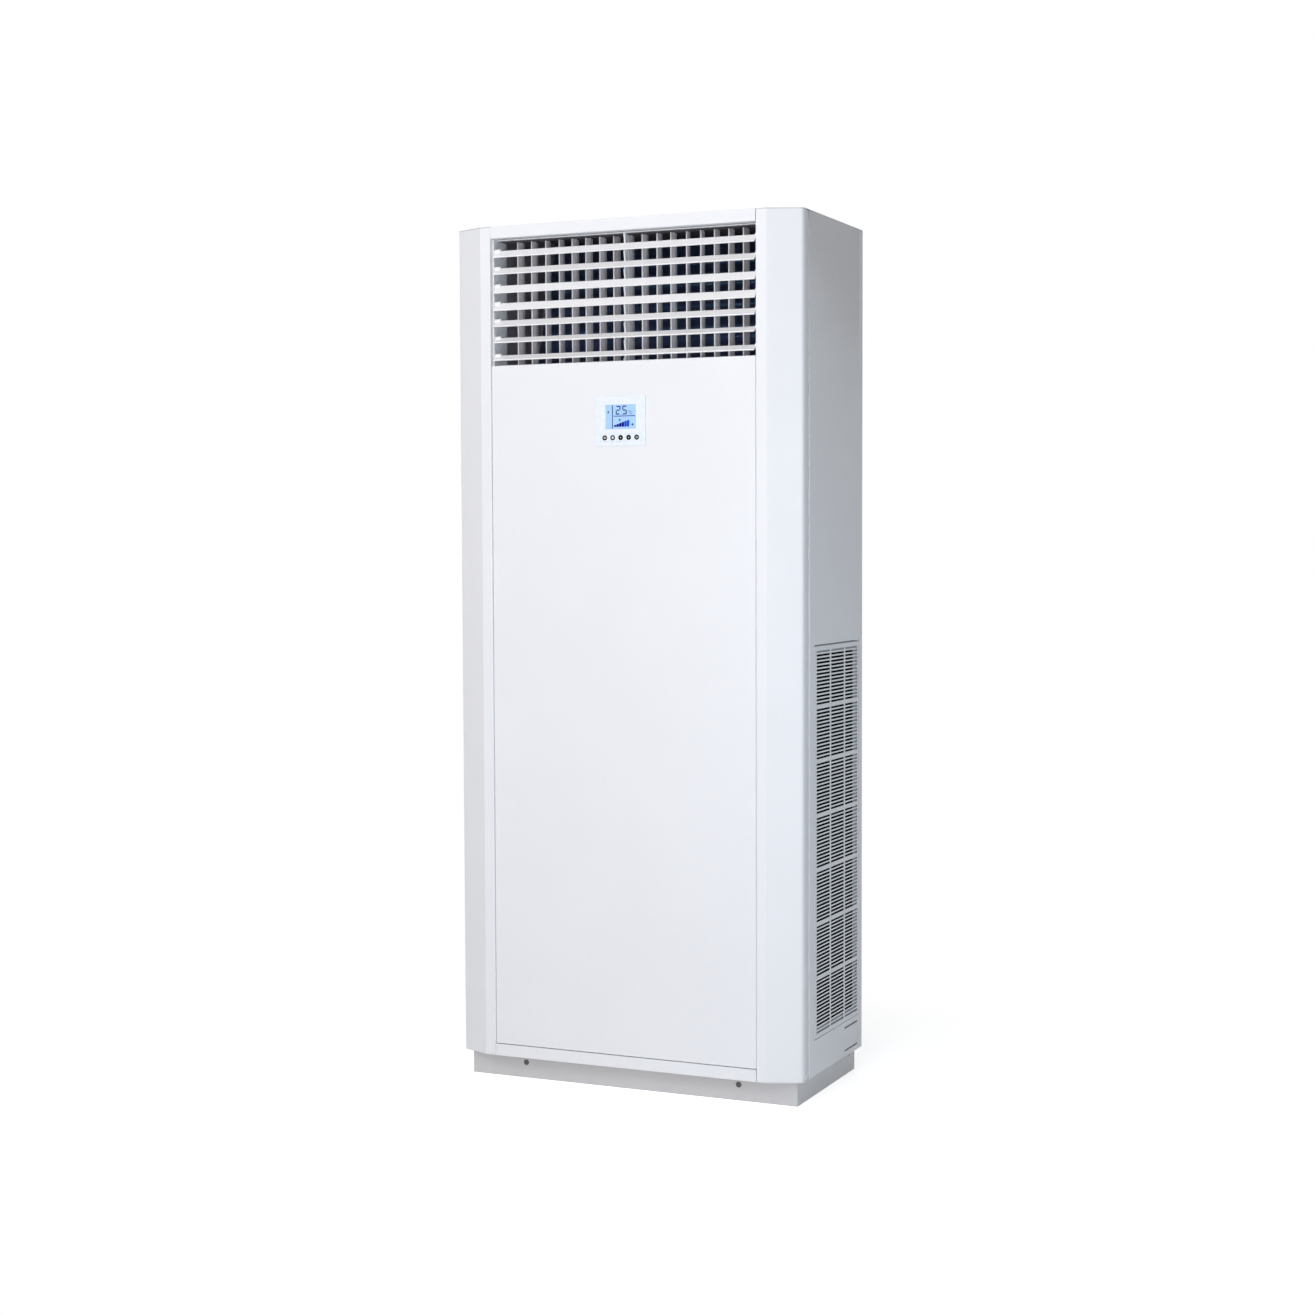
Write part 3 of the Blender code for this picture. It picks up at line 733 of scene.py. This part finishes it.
def windowedSheet(ys, zs, face, thick, lipWidth, lipFall):
    # an upright sheet, open in every second cell of every second row, with its
    # front edge turned inward
    shape = bmesh.new()
    grid = [[shape.verts.new((face, y, z)) for y in ys] for z in zs]
    for row in range(len(zs) - 1):
        for column in range(len(ys) - 1):
            if not (row % 2 and column % 2):
                shape.faces.new((grid[row][column], grid[row][column + 1],
                                 grid[row + 1][column + 1], grid[row + 1][column]))
    pulled(shape, (thick, 0, 0))
    sliced(shape, (0, ys[0] + lipWidth, 0), (0, 1, 0))
    for vertex in shape.verts:
        if vertex.co.y < ys[0] + lipWidth / 2:
            vertex.co.x += lipFall
    return meshFrom(outward(shape))


def makeGrille(side):
    sign = 1 if side == "right" else -1
    node = "return_grille_" + side
    low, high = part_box(node)
    pitch = grille["slotPitch"]
    width = grille["columnWidth"]
    columnStep = (0, width + grille["mullion"], 0)
    columns = (grille["columns"], columnStep)
    face = max(abs(low.x), abs(high.x)) - grille["slatInset"]
    startY = low.y + grille["firstColumn"]
    firstSlat = low.z + grille["endMargin"] + (pitch + grille["cadSlot"]) / 2
    inBlock = grille["slotsInBlock"]
    runs = [
        (firstSlat, inBlock, 1),
        (firstSlat + pitch + grille["blockPitch"], inBlock - 1, grille["blocks"] - 2),
        (firstSlat + pitch + (grille["blocks"] - 1) * grille["blockPitch"], inBlock, 1),
    ]
    whole = bmesh.new()
    for start, rows, blocks in runs:
        mesh = rowsOf(
            slatMesh(width), slatCoat, (face, startY, start), (rows, (0, 0, pitch)), columns,
            (blocks, (0, 0, grille["blockPitch"])),
        )
        whole.from_mesh(mesh)
    if sign < 0:
        whole.transform(Matrix.Scale(-1, 4, (1, 0, 0)))
        bmesh.ops.reverse_faces(whole, faces=whole.faces)
    slats = meshFrom(whole)
    piece("return_slats_" + side + "_fine", slats, slatCoat,
          nodes=("return_slats_" + side,))
    levels = sorted({round(vertex.co.z, 6) for vertex in cadCopy(node).vertices})
    edges = [low.y + grille["gap"]]
    for column in range(grille["columns"]):
        near = startY + column * columnStep[1]
        edges += [near, near + width]
    edges.append(high.y - grille["rearGap"])
    levels[0] += grille["gap"]
    levels[-1] -= grille["topGap"]
    plate = windowedSheet(edges, levels, sign * max(abs(low.x), abs(high.x)),
                          -sign * grille["sheet"], grille["lipWidth"], -sign * grille["lipFall"])
    plate = smoothed(plate, softEdge, angle=12)
    piece(node + "_skin", plate, whiteCoat, nodes=(node,))


def makeFilter(side):
    node = "filter_" + side
    low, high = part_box(node)
    front, back, bottom, top = grille["frameWidths"]
    ring = meshFrom(boxShape(low, high))
    window = cutterBox((low.x - 0.01, low.y + front, low.z + bottom),
                       (high.x + 0.01, high.y - back, high.z - top))
    ring = smoothed(ring, 0.0008, cutters=(window,))
    piece(node + "_frame", ring, filterPlastic, nodes=(node,))
    recess = grille["meshRecess"]
    shape = boxShape((low.x + recess, low.y + front - 0.002, low.z + bottom - 0.002),
                     (high.x - recess, high.y - back + 0.002, high.z - top + 0.002))
    bmesh.ops.subdivide_edges(shape, edges=shape.edges, cuts=6, use_grid_fill=True)
    piece(node + "_weave", meshFrom(shape), filterMesh)


for side in ("left", "right"):
    makeGrille(side)
    makeFilter(side)
print("return grilles slatted")


# Discharge outlet

outlet = {
    "paintedShadeFront": -0.170,
    "slopes": (41.0, 37.0, 48.5, 48.0, 36.5, 27.0, 28.5),
    "reach": 0.018,
    "rootRadius": 0.0028,
    "noseRadius": 0.0013,
    "beadRadius": 0.0017,
    "beadNeck": 57,
    "endSpace": 0.0005,
    "hubRadius": 0.0066,
    "hubLengths": (0.014, 0.0028),
}


def louvreSection(shrink):
    # side view about the pivot: thick root, flat faces and a bead along the nose
    root, bead = outlet["rootRadius"] - shrink, outlet["beadRadius"] - shrink
    lean = math.asin((outlet["rootRadius"] - outlet["noseRadius"]) / outlet["reach"])
    middle = outlet["beadRadius"] - outlet["noseRadius"] - outlet["reach"]
    neck = math.radians(outlet["beadNeck"])
    points = []
    for step in range(15):
        angle = (math.pi / 2 + lean) * (2 * step / 14 - 1)
        points.append((root * math.cos(angle), root * math.sin(angle)))
    for step in range(17):
        angle = neck + (2 * math.pi - 2 * neck) * step / 16
        points.append((middle + bead * math.cos(angle), bead * math.sin(angle)))
    return points


def louvreMesh():
    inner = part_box("louvre_1")
    reach = inner[1].x - outlet["endSpace"]
    stations = [(-reach, 0.0005), (-reach + 0.0002, 0.0002), (-reach + 0.0005, 0.0)]
    stations += [(-x, shrink) for x, shrink in reversed(stations)]
    shape = bmesh.new()
    rings = [[shape.verts.new((x, y, z)) for y, z in louvreSection(shrink)]
             for x, shrink in stations]
    for first, second in zip(rings, rings[1:]):
        bridged(shape, first, second)
    shape.faces.new(rings[0])
    shape.faces.new(rings[-1])
    blade = linked("blade", meshFrom(outward(shape)))
    hubs = []
    for sign, length in zip((-1, 1), outlet["hubLengths"]):
        radius = outlet["hubRadius"]
        profile = [(0, 0), (radius - 0.0004, 0), (radius, 0.0004), (radius, length - 0.0008),
                   (radius - 0.0008, length), (0, length)]
        hub = turnedShape(profile)
        hub.transform(Matrix.Translation((sign * inner[1].x, 0, 0))
                      @ Matrix.Rotation(-sign * math.pi / 2, 4, "Y"))
        item = linked("hub", meshFrom(hub))
        joiner = blade.modifiers.new("hub", "BOOLEAN")
        joiner.operation = "UNION"
        joiner.object = item
        hubs.append(item)
    mesh = plainMesh(blade)
    for item in hubs:
        bpy.data.objects.remove(item)
    return smoothed(mesh, softEdge, 2, 50)


def placed(mesh, place, turn):
    copy = mesh.copy()
    copy.transform(Matrix.Translation(place) @ turn)
    return copy


def makeLouvres():
    mesh = louvreMesh()
    for index, slope in enumerate(outlet["slopes"], start=1):
        name = f"louvre_{index}"
        turn = Matrix.Rotation(math.radians(slope), 4, "X")
        copy = placed(mesh, joints[name]["pos_m"], turn)
        piece(name + "_blade", copy, louvrePlastic, name, (name,))


vane = {
    "turns": (-1, 2, 6, 5, -2, -3, -2.5, -3, 0, -1, 3.5, 0, 9.5, 7, 1, -1, -2),
    "chord": 0.030,
    "pivotShare": 0.6,
    "thickness": 0.0024,
    "bead": 0.0030,
    "beadCurve": 0.0005,
    "endSpace": 0.0015,
    "bossRadius": 0.0020,
    "bossLength": 0.0040,
    "pinRadius": 0.0016,
    "pinHeight": 0.0068,
    "pinSpot": (0.003, 0.0067),
}


def vaneMesh():
    low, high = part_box("vane_09")
    reach = (high.z - low.z) / 2
    front = -vane["pivotShare"] * vane["chord"]
    back = front + vane["chord"]
    half = vane["thickness"] / 2
    bead, curve = vane["bead"] / 2, vane["beadCurve"]
    right = [(0, front)]
    for step in range(5):
        angle = math.pi / 2 * step / 4
        right.append((bead - curve * (1 - math.sin(angle)), front + curve * (1 - math.cos(angle))))
    right += [(bead, front + 0.0012), (half, front + 0.0024)]
    right += [(half, -0.004), (half * 1.35, -0.0015), (half * 1.35, 0.0015), (half, 0.004)]
    for step in range(6):
        angle = math.pi / 2 * step / 5
        right.append((half * math.cos(angle), back - half * (1 - math.sin(angle))))
    left = [(-x, y) for x, y in reversed(right[1:-1])]
    tip = reach - vane["endSpace"]
    blade = extruded(right + left, -tip, tip, "Z")
    bosses = []
    radius, length = vane["bossRadius"], vane["bossLength"]
    for sign in (-1, 1):
        profile = [(0, 0), (radius - 0.0002, 0), (radius, 0.0002), (radius, length - 0.0004),
                   (radius - 0.0004, length), (0, length)]
        one = turnedShape(profile, 20)
        turn = Matrix.Rotation(math.pi if sign > 0 else 0, 4, "X")
        one.transform(Matrix.Translation((0, 0, sign * reach)) @ turn)
        bosses.append(one)
    radius, height = vane["pinRadius"], vane["pinHeight"]
    pin = turnedShape([(0, 0), (radius, 0), (radius, height * 0.7),
                       (radius * 0.7, height * 0.85), (0, height * 0.88)], 14)
    ahead, below = vane["pinSpot"]
    pin.transform(Matrix.Translation((0, back - ahead, reach - below)))
    return smoothed(meshFrom(merged(blade, *bosses, pin)))


def makeVanes():
    mesh = vaneMesh()
    for index, turn in enumerate(vane["turns"], start=1):
        name = f"vane_{index:02d}"
        copy = placed(mesh, joints[name]["pos_m"], Matrix.Rotation(math.radians(turn), 4, "Z"))
        piece(name + "_blade", copy, vanePlastic, name, (name,))


def makeOutletFrame():
    # the frame's ceiling behind the louvres takes a dark material, painted shade where little light
    # reaches
    shape = bmesh.new()
    shape.from_mesh(cadCopy("discharge_frame"))
    sliced(shape, (0, outlet["paintedShadeFront"], 0), (0, 1, 0))
    for face in shape.faces:
        middle = face.calc_center_median()
        down = face.normal.z < -0.9 and middle.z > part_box("louvre_1")[1].z
        face.material_index = 1 if down and middle.y > outlet["paintedShadeFront"] else 0
    mesh = meshFrom(shape)
    mesh.materials.append(whitePlastic)
    mesh.materials.append(paintedShade)
    skin("discharge_frame", None, mesh)
    for node in ("duct_side_left", "duct_side_right", "duct_floor"):
        skin(node, ductSteel)


makeOutletFrame()
makeLouvres()
makeVanes()
print("outlet fitted")


# Coil of fins and tubes

coil = {
    "lean": 18.3,
    "finPitch": 0.0021,
    "finThickness": 0.00022,
    "tubePitch": 0.0254,
    "tubeRadius": 0.0049,
    "tubeDepth": 0.0088,
    "rowStep": 0.022,
    "finInset": 0.0008,
    "finWave": 0.0007,
    "finSteps": 44,
    "sideMargin": 0.006,
    "firstTube": 0.012,
    "plateThickness": 0.0015,
}


def coilCorners():
    low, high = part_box("coil")
    rise = (high.z - low.z) * math.tan(math.radians(coil["lean"]))
    thick = high.y - low.y - rise
    return low, high, rise, thick


def finMesh():
    low, high, rise, thick = coilCorners()
    steps, inset = coil["finSteps"], coil["finInset"]
    front, back = [], []
    for step in range(steps + 1):
        share = step / steps
        up = share * (high.z - low.z)
        wave = coil["finWave"] * math.cos(up / coil["tubePitch"] * 2 * math.pi)
        front.append((low.y + share * rise + inset + wave, low.z + up))
        back.append((low.y + share * rise + thick - inset - wave, low.z + up))
    outline = front + back[::-1]
    shape = bmesh.new()
    half = coil["finThickness"] / 2
    sides = [[shape.verts.new((x, y, z)) for y, z in outline] for x in (-half, half)]
    bridged(shape, *sides)
    count = len(outline)
    for side in sides:
        for n in range(steps):
            shape.faces.new((side[n], side[n + 1], side[count - 2 - n], side[count - 1 - n]))
    return meshFrom(outward(shape))


def makeCoil():
    low, high, rise, thick = coilCorners()
    length = high.x - low.x
    count = int((length - coil["sideMargin"]) / coil["finPitch"])
    start = -(count - 1) * coil["finPitch"] / 2
    fins = rowsOf(finMesh(), finBlue, (start, 0, 0), (count, (coil["finPitch"], 0, 0)))
    piece("coil_fins", fins, None, nodes=("coil",))
    lean = math.radians(coil["lean"])
    step, radius, first = coil["tubePitch"], coil["tubeRadius"], coil["firstTube"]
    rows = int((high.z - low.z - 0.02) / math.cos(lean) / step)
    tube = turnedShape([(0, 0), (radius * 0.8, 0), (radius, radius * 0.2),
                        (radius, length - radius * 0.2), (radius * 0.8, length), (0, length)], 24)
    tube.transform(Matrix.Translation((-length / 2, 0, 0)) @ Matrix.Rotation(math.pi / 2, 4, "Y"))
    mesh = meshFrom(tube)
    for polygon in mesh.polygons:
        polygon.use_smooth = True
    startY = low.y + coil["tubeDepth"] / math.cos(lean) + first * math.tan(lean)
    tubes = rowsOf(mesh, tubeBlue, (0, startY, low.z + first),
                   (rows, (0, step * math.sin(lean), step * math.cos(lean))),
                   (2, (0, coil["rowStep"], 0)))
    piece("coil_tubes", tubes, None)
    sheet = coil["plateThickness"]
    for side, x in (("left", low.x), ("right", high.x - sheet)):
        outline = [(low.y, low.z), (low.y + thick, low.z), (high.y, high.z),
                   (low.y + rise, high.z)]
        plate = smoothed(meshFrom(extruded(outline, x, x + sheet, "X")), softEdge)
        piece("coil_plate_" + side, plate, ductSteel)


makeCoil()
print("coil finned")


# Control panel

# Marks are placed from the window's left and top edges: figures as (which, left, width),
# strips as (left, bottom, width, height), icons as (middle, middle, width, height, thinness)
panel = {
    "markRise": 0.00008,
    "sideLine": (0.0147, 0.0018),
    "midLine": (0.0187, 0.0243, 0.0016),
    "figures": ((2, 0.0231, 0.0106), (5, 0.0379, 0.0108)),
    "figureSize": (0.0203, 0.0182, 0.0024, 0.05),
    "degreeRing": (0.0542, 0.0136, 0.0011),
    "strips": ((0.0566, 0.0199, 0.0054, 0.0009), (0.0566, 0.0152, 0.0054, 0.0009),
               (0.0558, 0.0196, 0.0009, 0.0049), (0.0590, 0.0423, 0.0060, 0.0014),
               (0.0613, 0.0446, 0.0014, 0.0060)),
    "icons": ((0.0060, 0.0148, 0.0023, 0.0032, 0.17), (0.0325, 0.0316, 0.0027, 0.0033, 0.17)),
    "bars": {"count": 6, "first": 0.0192, "pitch": 0.0060, "width": 0.0055, "bottom": 0.0459,
             "lowest": 0.0036, "step": 0.00194, "slope": 0.0009, "dark": 4},
    "keyCount": 5,
    "keyPitch": 0.0185,
    "keyCentre": 0.0015,
    "keyRadius": 0.0054,
    "ringWidth": 0.0028,
}


def flatMarks(outlines, y, thickness):
    # thin raised prints from outlines in metres, seen from the front
    shapes = [extruded(outline, y, y + thickness, "Y") for outline in outlines]
    return meshFrom(merged(*shapes))


def bar(x, z, width, height):
    return [(x, z), (x + width, z), (x + width, z + height), (x, z + height)]


def digitBars(which, x, z, width, height, stroke, slant):
    # the lit strokes of one seven-stroke figure
    half = height / 2
    lit = {2: "abged", 5: "afgcd"}[which]
    gap = stroke * 0.18
    strokes = {
        "a": [(gap, height), (width - gap, height), (width - stroke, height - stroke),
              (stroke, height - stroke)],
        "d": [(stroke, stroke), (width - stroke, stroke), (width - gap, 0), (gap, 0)],
        "g": [(stroke * 0.7, half), (stroke * 1.2, half + stroke / 2),
              (width - stroke * 1.2, half + stroke / 2), (width - stroke * 0.7, half),
              (width - stroke * 1.2, half - stroke / 2), (stroke * 1.2, half - stroke / 2)],
        "f": [(0, half + gap), (0, height - gap), (stroke, height - stroke - gap),
              (stroke, half + stroke / 2 + gap)],
        "b": [(width, half + gap), (width - stroke, half + stroke / 2 + gap),
              (width - stroke, height - stroke - gap), (width, height - gap)],
        "e": [(0, half - gap), (stroke, half - stroke / 2 - gap), (stroke, stroke + gap),
              (0, gap)],
        "c": [(width, half - gap), (width, gap), (width - stroke, stroke + gap),
              (width - stroke, half - stroke / 2 - gap)],
    }
    return [[(x + u + v * slant, z + v) for u, v in strokes[key]] for key in lit]


def makeScreen():
    low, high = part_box("display_screen")
    mesh = smoothed(meshFrom(boxShape(low, high)), softEdge)
    piece("display_window", mesh, litBlue, nodes=("display_screen",))
    left, top = low.x, high.z
    width, height = high.x - low.x, high.z - low.z
    rise = panel["markRise"] * 1.5
    face = low.y - panel["markRise"]
    across, wide = panel["sideLine"]
    blue = [bar(left + across, low.z + 0.0006, wide, height - 0.0012)]
    across, down, tall = panel["midLine"]
    blue.append(bar(left + across, top - down, width - across - 0.0010, tall))
    down, tall, stroke, slant = panel["figureSize"]
    for which, across, wide in panel["figures"]:
        blue += digitBars(which, left + across, top - down, wide, tall, stroke, slant)
    blue += [bar(left + across, top - down, wide, tall)
             for across, down, wide, tall in panel["strips"]]
    across, down, radius = panel["degreeRing"]
    blue.append([(left + across + x, top - down + z) for x, z in circle(radius, 20)])
    for across, down, wide, tall, thin in panel["icons"]:
        for spoke in range(3):
            angle = math.pi * spoke / 3
            along = (math.cos(angle), math.sin(angle))
            blue.append([
                (left + across + wide * (a * along[0] - thin * b * along[1]),
                 top - down + tall * (a * along[1] + thin * b * along[0]))
                for a, b in ((-1, -1), (1, -1), (1, 1), (-1, 1))
            ])
    piece("display_marks", flatMarks(blue, face, rise), markBlue)
    rule = panel["bars"]
    base = top - rule["bottom"]
    bars = []
    for index in range(rule["count"]):
        head = base + rule["lowest"] + index * rule["step"]
        x = left + rule["first"] + index * rule["pitch"]
        bars.append([(x, base), (x + rule["width"], base),
                     (x + rule["width"], head + rule["slope"]), (x, head)])
    dark, light = bars[:rule["dark"]], bars[rule["dark"]:]
    piece("display_bars", flatMarks(dark, face, rise), barBlue)
    piece("display_last_bars", flatMarks(light, face, rise), lastBarBlue)


def ringShape(x, z, outer, inner, y, height):
    profile = [(inner, 0), (outer, 0), (outer, height * 0.7), (outer - height * 0.3, height),
               (inner + height * 0.3, height), (inner, height * 0.7)]
    shape = bmesh.new()
    rings = [[shape.verts.new((across, -rise, up)) for across, up in circle(radius, 36)]
             for radius, rise in profile]
    for first, second in zip(rings, rings[1:] + rings[:1]):
        bridged(shape, first, second)
    shape.transform(Matrix.Translation((x, y, z)))
    return outward(shape)


def makeKeys():
    low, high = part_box("keypad")
    middle = (low.z + high.z) / 2
    padFace = low.y + 0.0005
    pad = smoothed(meshFrom(boxShape((low.x, padFace, low.z), high)), 0.0002)
    piece("keypad_sheet", pad, bezelPlastic, nodes=("keypad",))
    rings, caps, marks = [], [], []
    for index in range(panel["keyCount"]):
        x = panel["keyCentre"] + (index - (panel["keyCount"] - 1) / 2) * panel["keyPitch"]
        inner = panel["keyRadius"] - panel["ringWidth"]
        rings.append(ringShape(x, middle, panel["keyRadius"], inner, padFace, padFace - low.y))
        cap = turnedShape([(0, 0), (inner, 0), (inner, 0.0002), (inner * 0.7, 0.00032),
                           (0, 0.00036)])
        upright = Matrix.Rotation(math.pi / 2, 4, "X")
        cap.transform(Matrix.Translation((x, padFace, middle)) @ upright)
        (rings if index in (2, 3) else caps).append(cap)
        half = inner * 0.72
        if index == 0:
            marks.append(bar(x - half, middle + 0.0010, 2 * half, 0.0008))
            marks.append(bar(x - half, middle - 0.0020, 2 * half, 0.0010))
        if index == 4:
            marks.append(bar(x - half, middle - 0.0005, 2 * half, 0.0010))
            marks.append(bar(x - 0.0005, middle - half, 0.0010, 2 * half))
    piece("key_rings", smoothed(meshFrom(merged(*rings))), darkPrint)
    piece("key_caps", smoothed(meshFrom(merged(*caps))), keyCap)
    front = low.y + 0.00004
    piece("key_marks", flatMarks(marks, front, 0.0002), darkPrint)
    arrows = []
    for index, way in ((2, 1), (3, -1)):
        x = panel["keyCentre"] + (index - 2) * panel["keyPitch"]
        arrows.append([(x - 0.0017, middle - 0.0009 * way), (x + 0.0017, middle - 0.0009 * way),
                       (x, middle + 0.0016 * way)][::way])
    piece("key_arrows", flatMarks(arrows, front, 0.0002), keyCap)


def makeBezel():
    mesh = smoothed(cadCopy("control_bezel"), 0.0006, 3)
    piece("control_bezel_skin", mesh, bezelPlastic, nodes=("control_bezel",))


makeBezel()
makeScreen()
makeKeys()
print("control panel printed")


# Floor, world and lamps

studio = {
    "floorSize": 30.0,
    "floorColour": (0.75, 0.75, 0.75),
    "floorGlow": 0.70,
    "fadeStart": 0.42,
    "fadeEnd": 1.1,
    "ambient": 0.15,
    "lamps": {
        "key": {"place": (-0.6, -4.1, 3.4), "aim": (0.0, -0.2, 1.1), "size": (4.4, 1.6),
                "power": 63.5},
        "top": {"place": (0.0, -2.0, 3.9), "aim": (0.0, -0.2, 1.6), "size": (2.6, 0.8),
                "power": 16.5},
        "low": {"place": (0.3, -4.8, 1.15), "aim": (0.0, -0.2, 1.2), "size": (2.4, 1.3),
                "power": 74},
        "left": {"place": (-3.4, -3.4, 2.2), "aim": (0.0, -0.2, 1.0), "size": (2.0, 2.4),
                 "power": 18, "colour": (0.93, 0.95, 1.0)},
        "back": {"place": (-1.3, 3.6, 2.4), "aim": (0.0, 0.2, 1.0), "size": (1.6, 1.6),
                 "power": 26},
        "right": {"place": (2.3, -1.5, 0.95), "aim": (0.4, 0.0, 0.7), "size": (1.0, 1.4),
                  "power": 17, "colour": (0.72, 0.87, 1.0)},
    },
}


def cameraSees(tree):
    # one for camera, glossy and transmission rays, zero for the rest
    make, link = nodeTools(tree)
    path = make("ShaderNodeLightPath")
    first = make("ShaderNodeMath", operation="MAXIMUM")
    second = make("ShaderNodeMath", operation="MAXIMUM")
    link(path.outputs["Is Camera Ray"], first.inputs[0])
    link(path.outputs["Is Glossy Ray"], first.inputs[1])
    link(first.outputs["Value"], second.inputs[0])
    link(path.outputs["Is Transmission Ray"], second.inputs[1])
    return second.outputs["Value"]


def makeFloor():
    size = studio["floorSize"] / 2
    mesh = bpy.data.meshes.new("floor")
    corners = [(-size, -size, 0), (size, -size, 0), (size, size, 0), (-size, size, 0)]
    mesh.from_pydata(corners, [], [(0, 1, 2, 3)])
    material, shader = newMaterial("paleFloor", studio["floorColour"], 0.8)
    given(shader, {"Specular IOR Level": 0.0})
    tree = material.node_tree
    make, link = nodeTools(tree)
    coordinates = make("ShaderNodeTexCoord")
    distance = make("ShaderNodeVectorMath", operation="LENGTH")
    fade = make("ShaderNodeMapRange", interpolation_type="SMOOTHSTEP")
    given(fade, {"From Min": studio["fadeStart"], "From Max": studio["fadeEnd"]})
    strength = make("ShaderNodeMath", {1: studio["floorGlow"]}, operation="MULTIPLY")
    share = make("ShaderNodeMath", operation="MULTIPLY")
    glow = make("ShaderNodeEmission")
    white = make("ShaderNodeEmission")
    total = make("ShaderNodeAddShader")
    faded = make("ShaderNodeMixShader")
    seen = cameraSees(tree)
    link(seen, strength.inputs[0])
    link(strength.outputs["Value"], glow.inputs["Strength"])
    link(shader.outputs["BSDF"], total.inputs[0])
    link(glow.outputs["Emission"], total.inputs[1])
    link(coordinates.outputs["Object"], distance.inputs[0])
    link(distance.outputs["Value"], fade.inputs["Value"])
    link(fade.outputs["Result"], share.inputs[0])
    link(seen, share.inputs[1])
    link(share.outputs["Value"], faded.inputs["Fac"])
    link(total.outputs["Shader"], faded.inputs[1])
    link(white.outputs["Emission"], faded.inputs[2])
    link(faded.outputs["Shader"], tree.nodes["Material Output"].inputs["Surface"])
    mesh.materials.append(material)
    linked("floor", mesh)


def makeWorld():
    world = bpy.data.worlds.new("studio")
    scene.world = world
    world.use_nodes = True
    tree = world.node_tree
    tree.nodes.clear()
    make, link = nodeTools(tree)
    soft = make("ShaderNodeBackground",
                {"Color": (0.96, 0.98, 1.0, 1), "Strength": studio["ambient"]})
    white = make("ShaderNodeBackground", {"Color": (1, 1, 1, 1), "Strength": 1})
    mix = make("ShaderNodeMixShader")
    output = make("ShaderNodeOutputWorld")
    link(cameraSees(tree), mix.inputs["Fac"])
    link(soft.outputs["Background"], mix.inputs[1])
    link(white.outputs["Background"], mix.inputs[2])
    link(mix.outputs["Shader"], output.inputs["Surface"])


def makeLamps():
    for name, lamp in studio["lamps"].items():
        data = bpy.data.lights.new(name, "AREA")
        data.shape = "RECTANGLE"
        data.size, data.size_y = lamp["size"]
        data.energy = lamp["power"]
        data.color = lamp.get("colour", (1.0, 1.0, 1.0))
        item = bpy.data.objects.new(name, data)
        scene.collection.objects.link(item)
        item.location = lamp["place"]
        way = Vector(lamp["aim"]) - Vector(lamp["place"])
        item.rotation_euler = way.to_track_quat("-Z", "Y").to_euler()


makeFloor()
makeWorld()
makeLamps()
scene.view_settings.view_transform = "Standard"
print("studio lit")
